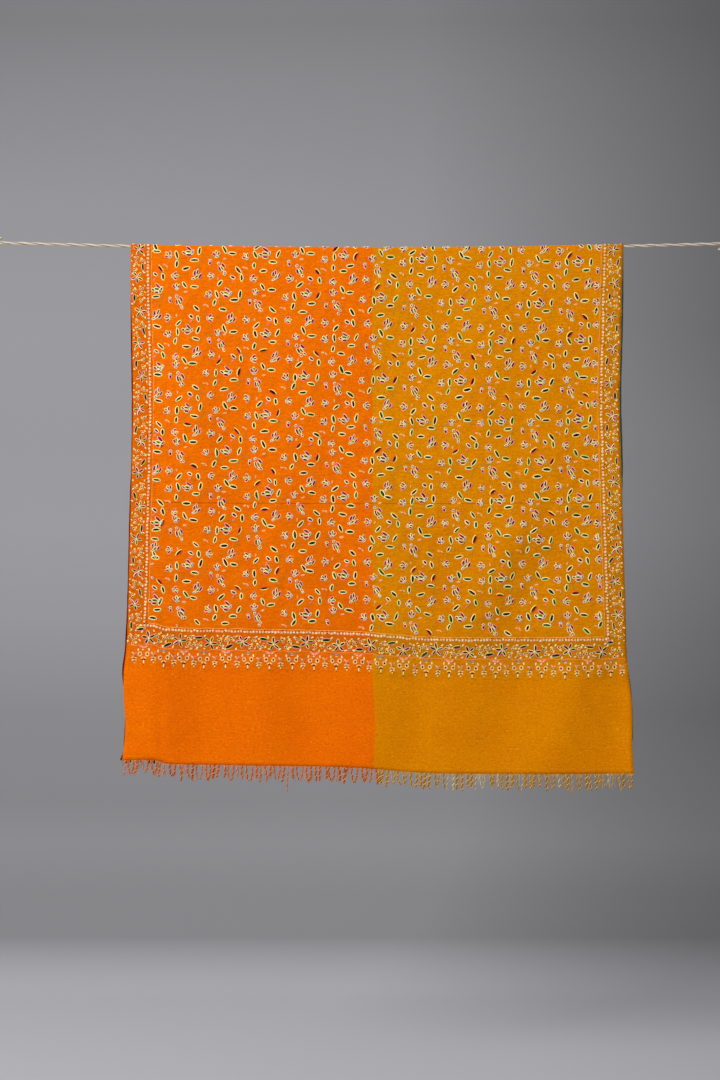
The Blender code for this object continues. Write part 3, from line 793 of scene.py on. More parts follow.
ODD_SPRAY = [Placed(*row) for row in (
    ("tulip", 0, 0, 0), ("bud", -39.5, 3, 40), ("leaf", -21, 3, 100), ("red leaf", 24.5, 2, 70),
    ("leaf", 13, 17, 0), ("short leaf", -24.5, 22, 65), ("leaf", -5, 33, 2), ("arc", -42.5, 23, 0),
    ("red leaf", -63, 31, -42), ("short leaf", -58, 51, -82), ("dark leaf", -72, 47, -34),
    ("bud", -33, 50, -90), ("round flower", 10, 51.5, 0), ("bud", 40, 54, 90), ("small bud", 43, 19, 0),
    ("bud", 56, -3, 0), ("leaf", 73, -12.5, -62), ("leaf", 89, -4.5, -4), ("dash", 73, 5, 6),
    ("long flower", 62, 23.5, 0), ("tail", 65, 35.5, -42), ("red leaf", 60, 63, 45),
    ("short dash", 57, 51, 92),
)]
# Stems join the sprays, in the same millimetres
STEMS = [
    [(57, 8), (48, 8), (39, 9), (31, 13), (25, 19), (21, 27), (20, 36)],
    [(-36, 12), (-29, 15), (-20, 13), (-12, 18), (-6, 27)],
    [(-51, 41), (-43, 43), (-34, 48)],
    [(0, 9), (4, 13), (7, 16)],
]
STEM_WIDTH = 0.0013

Stitch = namedtuple("Stitch", "x v length width angle bend rim_left rim_right heart_left heart_right")
Spot = namedtuple("Spot", "x v turn")


def sew(x, v, lift):
    """Points that stand off the cloth's outer face, for x as it hangs and a distance
    along the cloth from the top of the fold, which is positive in front."""
    side = np.where(v > 0, FRONT, BACK)
    drop = np.maximum(np.abs(v) - QUARTER_TURN, 0.0)
    left, right = edge_lines(side, drop)
    share = np.clip((x - left) / (right - left), 0.0, 1.0)
    turned = np.minimum(np.abs(v) / QUARTER_TURN, 1.0) * TURN_ROWS
    fallen = np.clip(drop / hem_drop(side, share), 0.0, 1.0) * FALL_ROWS
    row = middle_row + np.where(v > 0, 1, -1) * (turned + fallen)
    column = share * COLUMNS
    i = np.clip(np.floor(row).astype(int), 0, row_count - 2)
    j = np.clip(np.floor(column).astype(int), 0, COLUMNS - 1)
    s = (row - i)[..., None]
    t = (column - j)[..., None]
    point = mix(mix(cloth_points[i, j], cloth_points[i + 1, j], s),
                mix(cloth_points[i, j + 1], cloth_points[i + 1, j + 1], s), t)
    normal = mix(mix(cloth_normals[i, j], cloth_normals[i + 1, j], s),
                 mix(cloth_normals[i, j + 1], cloth_normals[i + 1, j + 1], s), t)
    normal /= np.linalg.norm(normal, axis=-1, keepdims=True)
    return point + normal * (CLOTH / 2 + lift)[..., None]


def hem_reach(side, x):
    """How far along the cloth its hem lies from the top of the fold."""
    left, right = edge_lines(side, hem_drop(side, np.float64(0.5)))
    return QUARTER_TURN + hem_drop(side, np.clip((x - left) / (right - left), 0.0, 1.0))


def turned_offset(x, v, turn):
    """An offset turned anticlockwise as the viewer sees it, where v runs downwards."""
    angle = math.radians(turn)
    return x * math.cos(angle) + v * math.sin(angle), v * math.cos(angle) - x * math.sin(angle)


def stitch_chart(chart, spot, size=1.0):
    """The stitches of one chart at a spot, each a little different, as by hand."""
    made = []
    for petal in chart:
        x, v = turned_offset(petal.x * MM * size, petal.v * MM * size, spot.turn)
        look = LOOKS[petal.look]
        if petal.look == "green leaf" and hand.random() < LIME_SHARE:
            look = LOOKS["lime leaf"]
        elif petal.look == "green leaf" and hand.random() < RED_SHARE:
            look = LOOKS["red leaf"]
        elif petal.look == "red leaf" and hand.random() < CORAL_SHARE:
            look = LOOKS[hand.choice(["coral leaf", "coral leaf", "green leaf"])]
        if spot.x > HALVES_MEET and "leaf" in petal.look and hand.random() < YELLOWER_SHARE:
            look = Look(look.rim_left, *(RIGHT_HALF.get(name, name) for name in look[1:]))
        if hand.random() < 0.5:
            look = Look(look.rim_right, look.rim_left, look.heart_right, look.heart_left)
        made.append(
            Stitch(
                spot.x + x + hand.normal(0.0, STITCH_SHIFT),
                spot.v + v + hand.normal(0.0, STITCH_SHIFT),
                petal.length * MM * size * hand.uniform(*PETAL_LENGTHS),
                petal.width * MM * size * hand.uniform(*PETAL_WIDTHS),
                petal.angle + spot.turn + hand.normal(0.0, STITCH_TURN),
                hand.normal(0.0, 0.07),
                *look,
            )
        )
    return made


def raise_stitches(stitches, segments, rim=RIM, crest=CREST):
    """Points, faces, uv and dyes of stitches: a rounded outline round a dark heart, with painted shade at
    the outline's feet and along the heart's edges.
    """
    count = len(stitches)
    half = segments // 2
    theta = 2 * np.pi * np.arange(segments) / segments
    column = {name: np.array([getattr(s, name) for s in stitches], dtype=float)[:, None]
              for name in ("x", "v", "length", "width", "angle", "bend")}
    uneven = 1.0 + hand.normal(0.0, 0.025, (count, segments))
    long = column["length"] / 2
    wide = column["width"] / 2
    inner = np.minimum(rim, wide * 0.66)
    # Rings from the outer foot of the outline to its inner foot, then the heart's middle
    rings = []
    for inset, lift in ((0.0, -0.0002), (0.42, 1.0), (1.0, 0.35)):
        ring_x = (long - inner * inset) * np.cos(theta) * uneven
        ring_y = (wide - inner * inset) * np.sin(theta) * uneven
        height = np.full((count, segments), lift * crest if lift > 0 else lift)
        rings.append((ring_x, ring_y, height))
    spine = theta[: half + 1]
    rings.append((
        (long - inner * 1.25) * np.cos(spine),
        np.zeros((count, half + 1)),
        np.full((count, half + 1), 0.55 * crest),
    ))
    local_x = np.concatenate([ring[0] for ring in rings], axis=1)
    local_y = np.concatenate([ring[1] for ring in rings], axis=1)
    lift = np.concatenate([ring[2] for ring in rings], axis=1)
    local_y = local_y + column["bend"] * long * ((local_x / long) ** 2 - 0.4)
    angle = np.radians(column["angle"])
    x = column["x"] + local_x * np.cos(angle) + local_y * np.sin(angle)
    v = column["v"] - local_x * np.sin(angle) + local_y * np.cos(angle)
    points = sew(x, v, lift)

    # The outline's outer and inner feet and the heart's edges are made darker than its crest and middle:
    # painted shade
    faces, dyed_as, shades = [], [], []
    for ring, part, shade in (
        (0, "rim", (1.0, 1.0, 0.9, 0.9)),
        (1, "rim", (0.92, 0.92, 1.0, 1.0)),
        (2, "heart", (1.0, 1.0, 0.8, 0.8)),
    ):
        for k in range(segments):
            a, b = ring * segments, (ring + 1) * segments
            n = (k + 1) % segments
            near, far = k, n
            if part == "heart":
                # Both sides of the heart meet along its middle
                near, far = (k, k + 1) if k < half else (segments - k, segments - k - 1)
            faces.append((b + near, b + far, a + n, a + k))
            dyed_as.append(part + ("_left" if k < half else "_right"))
            shades.append(shade)
    per_stitch = 3 * segments + half + 1
    faces = np.array(faces)
    all_faces = (faces[None] + (np.arange(count) * per_stitch)[:, None, None]).reshape(-1, 4)

    dyes = np.zeros((count, len(faces), 3))
    for name in Look._fields:
        dye_values = np.array([DYES[getattr(s, name)] for s in stitches])
        dyes[:, np.array(dyed_as) == name] = dye_values[:, None]
    dyes *= hand.uniform(0.95, 1.0, (count, 1, 1))
    shaded_corner_dyes = dyes[:, :, None, :] * np.array(shades)[None, :, :, None]

    # The uv runs along the outline, so that the thread's lines lie across it
    lap = np.concatenate([np.tile(theta, 3), spine])[None] / (2 * np.pi) * (long + wide) * np.pi
    cross = np.concatenate([np.zeros(segments), np.full(segments, rim / 2), np.full(segments, rim),
                            np.full(half + 1, rim * 2)])
    uv = np.stack(np.broadcast_arrays(lap, cross[None]), axis=-1).reshape(-1, 2)
    return points.reshape(-1, 3), all_faces, uv, shaded_corner_dyes.reshape(-1, 3)


def raise_lines(lines, width, dye_name, crest=0.0006):
    """Points, faces, uv and dyes of thin stitched lines, each through points (x, v)."""
    points, faces, uv = [], [], []
    first = 0
    for line_points in lines:
        path = np.asarray(line_points, dtype=float)
        way = np.gradient(path, axis=0)
        way /= np.linalg.norm(way, axis=1)[:, None]
        sideways = np.stack([-way[:, 1], way[:, 0]], axis=1)
        run = np.concatenate([[0.0], np.cumsum(np.linalg.norm(np.diff(path, axis=0), axis=1))])
        n = len(path)
        for offset, lift in ((-0.5, -0.0002), (0.0, crest), (0.5, -0.0002)):
            spot = path + sideways * width * offset
            points.append(sew(spot[:, 0], spot[:, 1], np.full(n, lift)))
            uv.append(np.stack([run, np.full(n, (offset + 0.5) * width)], axis=1))
        for strip in (0, 1):
            for i in range(n - 1):
                a = first + strip * n + i
                faces.append((a, a + 1, a + n + 1, a + n))
        first += 3 * n
    points = np.concatenate(points)
    dyes = np.tile(DYES[dye_name], (len(faces) * 4, 1))
    return points, np.array(faces), np.concatenate(uv), dyes


# Silk floss, laid as satin stitch: smoother and brighter than the wool under it, in
# fine lines across each outline. They are 0.3 mm apart and drawn 0.8 mm apart.
STITCH_SPACING = 0.0008
silk, tree, shader = start_material("silk_floss_satin_stitch", roughness=0.6, shine=0.08, sheen=0.0)
shader.inputs["Sheen Roughness"].default_value = 0.4
place = add_node(tree, "ShaderNodeUVMap", {"uv_map": "fibre"})
links = {"Scale": 2 * math.pi / 20 / STITCH_SPACING, "Distortion": 1.5, "Detail": 1.0}
stitch_lines = add_node(tree, "ShaderNodeTexWave", links={"Vector": place.outputs["UV"], **links})
finish_fibre(tree, shader, stitch_lines.outputs["Fac"], (0.0, 1.0, 0.95, 1.06), (0.5, 0.0003))


def row_reach(row, x):
    """How far along the cloth a row of tulips lies at x."""
    arch = FIRST_ROW - ARCH * (x - ARCH_MIDDLE) ** 2
    settled = min(abs(row) / ROWS_TO_SETTLE, 1.0)
    return QUARTER_TURN + row * ROW_STEP + mix(curve(TOP_ROW, "drop", x), arch, settled)


def field_frame(x, v):
    """The left, right and end lines that frame the field, where a motif lies."""
    side = FRONT if v > 0 else BACK
    left, right = edge_lines(side, max(abs(v) - QUARTER_TURN, 0.0))
    return left + LEFT_FRAME, right - RIGHT_FRAME, hem_reach(side, x) - END_LINE


hand = np.random.default_rng(40)
field_leaves = {FRONT: [], BACK: []}
field_flowers = {FRONT: [], BACK: []}
field_stems = []
for row in range(-11, 11):
    odd = row % 2
    for k in range(-1, 7):
        anchor_x = FIRST_COLUMN + COLUMN_STEP * (k + odd / 2)
        anchor_v = row_reach(row, anchor_x)
        for item in ODD_SPRAY if odd else EVEN_SPRAY:
            x = anchor_x + item.x * MM + hand.normal(0.0, SPRAY_SHIFT)
            v = anchor_v + item.v * MM + hand.normal(0.0, SPRAY_SHIFT)
            reach = max(petal.length for petal in CHARTS[item.chart]) * MM
            margin = reach * (0.5 if "leaf" in item.chart or "dash" in item.chart else 0.75)
            left, right, end = field_frame(x, v)
            # What would cross the frame by little is squeezed in beside it
            if left - SQUEEZED < x < left + margin:
                x = left + margin
            elif right - margin < x < right + SQUEEZED:
                x = right - margin
            inside = left + margin * 0.99 <= x <= right - margin * 0.99
            if not inside or abs(v) > end - margin:
                continue
            spot = Spot(x, v, item.turn + hand.normal(0.0, SPRAY_TURN))
            side = FRONT if v > 0 else BACK
            target = field_leaves if "leaf" in item.chart else field_flowers
            target[side].extend(stitch_chart(CHARTS[item.chart], spot, hand.uniform(*SPRAY_SIZES)))
        for stem in STEMS:
            path = [(anchor_x + x * MM, anchor_v + v * MM) for x, v in stem]
            left, right, end = field_frame(*path[0])
            if all(left + 0.003 < x < right - 0.003 and abs(v) < end - 0.003 for x, v in path):
                field_stems.append(path)

embroidery = []
for side, side_name in SIDES:
    stems = [path for path in field_stems if (path[0][1] > 0) == (side == FRONT)]
    for kind, shape in (
        ("leaves", raise_stitches(field_leaves[side], 14)),
        ("flowers", raise_stitches(field_flowers[side], 10, FINE_RIM)),
        ("stems", raise_lines(stems, STEM_WIDTH, "stem", 0.0004)),
    ):
        embroidery.append(
            add_piece(f"stitched_{kind}_{side_name}", *shape, silk, "embroidery_thread")
        )


# Embroidered borders: a couched line and a row of knots frame the field, with stars,
# leaves and small trefoils outside them, and at each end a vine with hanging drops.
STAR_REACH = 0.0080  # from a star's middle to the middle of a petal
BEAD_STEP = 0.0066
BEAD_SHIFT = 0.0004  # how far a bead strays from its row
LEFT_BEADS = 0.0345  # distances from a selvedge
RIGHT_BEADS = 0.0365
LEFT_STARS = 0.0155
RIGHT_STARS = 0.0174
SIDE_SIZE = 0.88  # how large the side borders are worked, against the end borders
STAR_SHIFT = 0.0008  # how far a star strays along its strip
FILLING_SHIFT = (0.0012, 0.0006)  # how far a filling strays along and aside
FILLING_TURN = 16  # and how far it is turned, in degrees
SEED_ASIDE = 0.0112  # from the middle of a scallop to the seeds beside it
STAR_ZIGZAG = 0.0022  # the stars stand alternately nearer the field and nearer the edge
LEFT_STEP = 0.0645
RIGHT_STEP = 0.0655
FIRST_LEFT_STAR = 0.0132  # distances along the cloth from the top of the fold
FIRST_RIGHT_STAR = 0.0142
LEFT_STAR_SHIFT = -0.0081  # the front's stars lie this much higher on the left
SIDE_END = 0.260  # the side borders stop here, from the hem
END_BEADS = 0.2660  # distances from the hem
END_STARS = 0.2440
END_SCALLOPS = 0.2236
END_SEEDS = 0.2188
END_DROPS = 0.211
VINE_WIDTH = 0.0014
BORDER_RIM = 0.0016
SMALL_RIM = 0.0012
SMALL_CREST = 0.0008
SIDE_LINE_WIDTH = 0.0011
END_LINE_WIDTH = 0.0014

BORDER_THREADS = {
    "star petal": "rose lime bottle bottle", "star straw": "blush straw bottle moss",
    "star rose": "rose cream bottle plum", "border leaf": "lime rose bottle moss",
    "bead": "peach peach blush peach", "pale bead": "cream blush cream peach",
    "seed": "cream peach maroon maroon", "lime seed": "straw peach maroon plum",
    "plain": "straw peach straw peach", "cream": "cream cream cream cream",
    "dark": "maroon plum maroon maroon", "pink stroke": "rose salmon coral rose",
    "pale stroke": "blush peach rose blush", "grey stroke": "stone slate bottle slate",
    "grey": "stone lime moss slate",
}
LOOKS.update((name, Look(*threads.split())) for name, threads in BORDER_THREADS.items())
# The hanging drops have v towards the hem
BORDER_CHARTS = {
    "trefoil": [
        (-3.3, 1.2, 6.4, 5.2, 150, "seed"), (0, -3, 6.4, 5.2, 90, "lime seed"),
        (3.2, 1.4, 5.8, 4.4, 30, "plain"),
    ],
    "border leaf": [(0, 0, 18.5, 8.2, 0, "border leaf"), (-9.6, 1.4, 3.6, 3.2, 0, "cream")],
    "bead": [(0, 0, 5.8, 4.8, 0, "bead"), (3.2, 1.2, 2.4, 2, 60, "dark")],
    "pale bead": [(0, 0, 5.6, 4.6, 0, "pale bead")],
    "stitch": [(0, 0, 6.2, 3, 0, "cream")],
    "pale stitch": [(0, 0, 6, 3.2, 0, "plain"), (2.2, 2, 2.6, 1.8, 0, "dark")],
    "long drop": [
        (-9.4, -2.2, 6.4, 3, 52, "plain"), (-5.2, -2.2, 6.4, 3, -52, "pale stroke"),
        (-9.4, 2.6, 6.4, 3, -52, "pale stroke"), (-5.2, 2.6, 6.4, 3, 52, "plain"),
        (-7.3, 0.2, 3.4, 3.8, 0, "dark"), (9.4, -2.2, 6.4, 3, -52, "plain"),
        (5.2, -2.2, 6.4, 3, 52, "pale stroke"), (9.4, 2.6, 6.4, 3, 52, "plain"),
        (5.2, 2.6, 6.4, 3, -52, "plain"), (7.3, 0.2, 3.4, 3.8, 0, "dark"),
        (-2.7, 7.8, 6.6, 2.8, 38, "plain"), (2.7, 7.8, 6.6, 2.8, -38, "plain"),
        (0, 10.4, 8, 2.2, 0, "dark"), (0, 15.6, 8.2, 2.8, 90, "cream"), (0, 20.4, 2.2, 1.8, 0, "dark"),
    ],
    "short drop": [
        (-2.8, -2.6, 6.8, 3.2, -45, "pale stroke"), (2.8, -2.6, 6.8, 3.2, 45, "pink stroke"),
        (0, 1.9, 4.8, 3, 90, "grey"), (2.8, 3.6, 2.6, 2, 0, "dark"),
        (-2.8, 6.6, 6.4, 2.8, 26, "pale stroke"), (2.8, 6.6, 6.4, 2.8, -26, "plain"),
        (0, 8.6, 4.4, 1.8, 0, "dark"), (-2.7, 11.2, 6.2, 2.8, 36, "cream"),
        (2.7, 11.2, 6.2, 2.8, -36, "plain"), (0, 13.2, 3, 1.8, 0, "dark"), (0, 16, 4.4, 3, 90, "plain"),
    ],
    "pink scallop": [
        (-6.6, -1.6, 7, 3, -32, "pink stroke"), (-2.8, -0.2, 8.4, 3.2, -32, "pale stroke"),
        (1.2, 0.4, 8.4, 3.2, -32, "pink stroke"), (4.8, -0.6, 7.4, 3, 34, "pale stroke"),
        (7.6, -1.8, 5.4, 2.8, 20, "pink stroke"), (-1.2, 4.6, 3.8, 3.2, 0, "cream"),
    ],
    "grey scallop": [
        (-4.6, -0.3, 6.6, 3.2, -18, "grey stroke"), (0.2, 0.6, 4.4, 3, 10, "grey"),
        (4.6, -0.3, 6.6, 3.2, 18, "grey stroke"), (0.4, 3.4, 6, 2.2, 0, "plain"),
    ],
}
CHARTS.update((name, [Petal(*row) for row in rows]) for name, rows in BORDER_CHARTS.items())

# What fills a strip from one star to the next: how far along the step, how far aside
# in millimetres, towards the side where the leaf lies, and how it is turned
Filling = namedtuple("Filling", "chart along aside turn")
GAP = [Filling(*row) for row in (
    ("stitch", 0.2, 11.8, 30), ("pale stitch", 0.22, -11.8, -50), ("trefoil", 0.3, -5, 70),
    ("trefoil", 0.36, 6.2, 10), ("stitch", 0.45, 12.2, -20), ("pale stitch", 0.42, -12.4, 35),
    ("trefoil", 0.49, -5.2, 140), ("border leaf", 0.64, 8, 8), ("stitch", 0.6, -12, 60),
    ("trefoil", 0.7, -6, -30), ("pale stitch", 0.55, 1.5, 75), ("stitch", 0.8, 11.8, 60),
    ("pale stitch", 0.83, -12.2, -20),
)]


def star_chart():
    """Five petals round a small centre, turned by a little, as by hand."""
    start = hand.uniform(0, 72)
    petals = []
    for n in range(5):
        angle = start + 72 * n + hand.normal(0, 5)
        x, v = turned_offset(STAR_REACH / MM, 0.0, angle)
        look = hand.choice(["star petal", "star petal", "star straw", "star rose"])
        petals.append(Petal(x, v, hand.uniform(12.6, 14.6), 6.6, angle, str(look)))
    petals.append(Petal(0.0, 0.0, 3.6, 3.4, 0, "cream"))
    return petals


def fill_strip(place, stars, towards, size=1.0):
    """The stars along a strip and what fills the gaps, large stitches and small ones.
    A place gives the spot at a distance along the strip and aside of its middle."""
    large, small = [], []
    for n, (star, following) in enumerate(zip(stars, np.append(stars[1:], 2 * stars[-1] - stars[-2]))):
        lean = towards * (1 if n % 2 == 0 else -1)
        spot = place(star + hand.normal(0, STAR_SHIFT), lean * STAR_ZIGZAG)
        if spot:
            large += stitch_chart(star_chart(), spot, size)
        for item in GAP:
            along = mix(star, following, item.along) + hand.normal(0, FILLING_SHIFT[0])
            spot = place(along, lean * item.aside * MM + hand.normal(0, FILLING_SHIFT[1]))
            if spot:
                turn = spot.turn + item.turn + hand.normal(0, FILLING_TURN)
                turned = Spot(spot.x, spot.v, turn)
                target = large if item.chart == "border leaf" else small
                target.extend(stitch_chart(CHARTS[item.chart], turned, size))
    return large, small


def at_hem(side, x, from_hem):
    """A spot at a distance from a hem. On the back half, charts stand turned round."""
    reach = float(hem_reach(side, np.float64(x))) - from_hem
    return Spot(x, reach, 0.0) if side == FRONT else Spot(x, -reach, 180.0)


def beside_selvedge(is_left, v, inward):
    """A spot at a distance from a selvedge, or none where the end borders are."""
    side = FRONT if v > 0 else BACK
    left, right = edge_lines(side, max(abs(v) - QUARTER_TURN, 0.0))
    x = left + inward if is_left else right - inward
    return Spot(float(x), v, 90.0) if abs(v) < hem_reach(side, x) - SIDE_END else None


def stitch_bead(spot):
    """One of the knots in a row, turned any way."""
    chart = CHARTS[hand.choice(["bead", "pale bead"])]
    return stitch_chart(chart, Spot(spot.x, spot.v, hand.uniform(0, 180)))


large_side, small_side, large_end, small_end, vines, frame_lines = [], [], [], [], [], []
left_stars = np.concatenate([
    FIRST_LEFT_STAR + LEFT_STEP * np.arange(-15, 1),
    FIRST_LEFT_STAR + LEFT_STAR_SHIFT + LEFT_STEP * np.arange(1, 13),
])
right_stars = FIRST_RIGHT_STAR + RIGHT_STEP * np.arange(12, -16, -1)
for is_left, stars, middle, beads in (
    (True, left_stars, LEFT_STARS, LEFT_BEADS),
    (False, right_stars, RIGHT_STARS, RIGHT_BEADS),
):
    large, small = fill_strip(
        lambda along, aside: beside_selvedge(is_left, along, middle + aside),
        stars,
        -1 if is_left else 1,
        SIDE_SIZE,
    )
    large_side += large
    small_side += small
    for n in range(-150, 150):
        along = BEAD_STEP * (n + 0.5) + hand.normal(0, BEAD_SHIFT)
        spot = beside_selvedge(is_left, along, beads + hand.normal(0, BEAD_SHIFT))
        if spot:
            small_side += stitch_bead(spot)

# Where the end stars and the long drops lie, by number: closer together on the left
STAR_PLACES = ((0, 2, 8, 14), (-0.4538, -0.3325, 0.0515, 0.4465))
DROP_PLACES = ((0, 3, 11, 14, 21.5), (-0.464, -0.3451, 0.0068, 0.144, 0.488))
drop_slope = (DROP_PLACES[1][1] - DROP_PLACES[1][0]) / (DROP_PLACES[0][1] - DROP_PLACES[0][0])
end_stars = np.interp(np.arange(15), *STAR_PLACES)
for side in (FRONT, BACK):
    large, small = fill_strip(
        lambda along, aside: at_hem(side, along, END_STARS + aside), end_stars[:-1], -1
    )
    large_end += large + stitch_chart(star_chart(), at_hem(side, end_stars[-1], END_STARS - STAR_ZIGZAG))
    small_end += small
    # Outside the corner stars: a leaf, trefoils and stitches, up to each selvedge
    for corner_x, outward in ((end_stars[0], -1), (end_stars[-1], 1)):
        for chart, aside, inward, turn in (
            ("border leaf", 0.0165, 0.0150, 6),
            ("trefoil", 0.0240, 0.0010, 40),
            ("trefoil", 0.0365, 0.0015, 120),
            ("stitch", 0.0130, 0.0100, 50),
            ("stitch", 0.0175, -0.0070, -40),
            ("stitch", 0.0350, 0.0140, 60),
            ("trefoil", 0.0290, -0.0110, 10),
            ("stitch", 0.0420, -0.0080, 80),
        ):
            spot = at_hem(side, corner_x + outward * aside, END_STARS + inward)
            target = large_end if chart == "border leaf" else small_end
            target += stitch_chart(CHARTS[chart], Spot(spot.x, spot.v, spot.turn + turn))
    sign = 1 if side == FRONT else -1
    left, right, _ = field_frame(0.0, sign * (hem_reach(side, 0.0) - END_LINE))
    first_bead, last_bead = left - (LEFT_FRAME - LEFT_BEADS), right + RIGHT_FRAME - RIGHT_BEADS
    for x in np.arange(first_bead, last_bead, BEAD_STEP * 0.94):
        small_end += stitch_bead(at_hem(side, x, END_BEADS + hand.normal(0, BEAD_SHIFT)))
    for n in np.arange(-0.5, 22.0, 0.5):
        x = float(np.interp(n, *DROP_PLACES)) + min(n, 0.0) * drop_slope
        spot = at_hem(side, x + hand.normal(0, 0.0005), END_DROPS + hand.normal(0, 0.0007))
        if n % 1:
            small_end += stitch_chart(CHARTS["short drop"], spot)
            continue
        small_end += stitch_chart(CHARTS["long drop"], spot)
        scallop = CHARTS["pink scallop" if n % 2 == 0 else "grey scallop"]
        small_end += stitch_chart(scallop, at_hem(side, x, END_SCALLOPS))
        for aside in (-SEED_ASIDE, SEED_ASIDE):
            seed = at_hem(side, x + aside, END_SEEDS)
            small_end += stitch_chart(CHARTS["stitch"], Spot(seed.x, seed.v, 90 + aside * 900))
    # Worked by hand, the vine and the frame's lines waver a little
    vine_x = np.linspace(-0.494, 0.494, 300)
    wave = 0.0007 * np.sin(vine_x * 142.0) + 0.0005 * np.sin(vine_x * 391.0 + 1.0)
    vines.append(np.stack([vine_x, sign * (hem_reach(side, vine_x) - END_VINE + wave)], axis=1))
    line_x = np.linspace(left, right, 200)
    wave = 0.0003 * np.sin(line_x * 210.0) + 0.0003 * np.sin(line_x * 97.0)
    frame_lines.append(np.stack([line_x, sign * (hem_reach(side, line_x) - END_LINE + wave)], axis=1))
side_lines = []
for is_left in (True, False):
    line = []
    for v in np.linspace(-0.80, 0.80, 400):
        left, right, end = field_frame(0.0, v)
        x = left if is_left else right
        if abs(v) < hem_reach(FRONT if v > 0 else BACK, x) - END_LINE:
            line.append((x + 0.0003 * math.sin(v * 190.0), v))
    side_lines.append(line)

for place_name, large, small, lines in (
    ("side", large_side, small_side, [(side_lines, SIDE_LINE_WIDTH, "gold", 0.0005)]),
    ("end", large_end, small_end, [(vines, VINE_WIDTH, "salmon", 0.0008),
                                   (frame_lines, END_LINE_WIDTH, "gold", 0.0006)]),
):
    shapes = [raise_stitches(large, 10, BORDER_RIM), raise_stitches(small, 8, SMALL_RIM, SMALL_CREST)]
    shape = join(shapes + [raise_lines(*line) for line in lines])
    embroidery.append(
        add_piece(f"stitched_{place_name}_borders", *shape, silk, "embroidery_thread")
    )


# Fringe: the warp threads left long at both ends, about 9 mm of them gathered into
# each strand, and the strand twisted from two plies. Some are caught up as loops.
STRANDS = 112  # along each hem
STRAND_RADIUS = 0.00155  # of one ply
STRAND_OFFSET = 0.0014
STRAND_LAY = 0.0115
STRAND_CLEAR = 0.0018  # the strands hang this much off the cloth
GATHER = 0.005
STRAND_LENGTH = 0.034
BACK_SHORTER = 0.72  # the back's strands, against the front's
CORNER_SPLAY = 0.009
LOOPED = 0.22  # share of the strands that are caught up with the next one
STRAY = 0.05  # share that hangs lower than the rest
UNEVEN = 0.22  # how far a strand strays to each side, in steps
LENGTHS = (0.70, 1.0)
STRAY_LENGTHS = (1.25, 1.6)
THICKNESSES = (0.70, 1.15)
LEAN = (-0.0008, 0.0026)  # its mean, and how much it varies
BOW = 0.0014
LOOP_BOW = 0.0016
PLY_TONES = ((0.45, 0.95), (0.70, 1.15))  # the least and the most, for each ply
PALE = 0.10  # share in a paler yarn, which is thinner
LOOSE_LENGTHS = (0.35, 0.95)  # of the loose fibres, against a strand's
LOOSE_RADIUS = 0.0004
THREAD_RADIUS = 0.00055  # of the loose warp threads that run together
HALF_STEP = SHAWL_WIDTH / STRANDS / 2

# The fringe's wool is the cloth's, but twisted: deeper in colour, lit at its edges
twisted_wool, tree, shader = start_material("wool_twisted_fringe", roughness=0.85, shine=0.12, sheen=0.06)
finish_fibre(tree, shader, noise_along(tree, 400, 900, 2.0), (0.3, 0.7, 0.55, 1.25), (0.6, 0.0004))

Yarn = namedtuple("Yarn", "dark light pale slot")
# Each yarn runs from its dark colour where the plies meet to its light one on their outer sides: painted
# shade
YARNS = {
    (FRONT, "left"): Yarn("BC2C00", "FF8C2E", "FFA878", "wool_orange"),
    (FRONT, "right"): Yarn("8A5200", "F4B43C", "FFE6A8", "wool_mustard"),
    (BACK, "left"): Yarn("2C0503", "8A2412", "B0604C", "wool_maroon"),
    (BACK, "right"): Yarn("1C3630", "5E8E82", "A4C0B4", "wool_teal"),
}
KNOT_YELLOW = "FFC24A"


def hem_point(side, share):
    """Where the cloth ends, for a share of its width."""
    share = np.array([share])
    reach = QUARTER_TURN + hem_drop(side, share)
    return lay_cloth(share, reach if side == FRONT else -reach)[0]


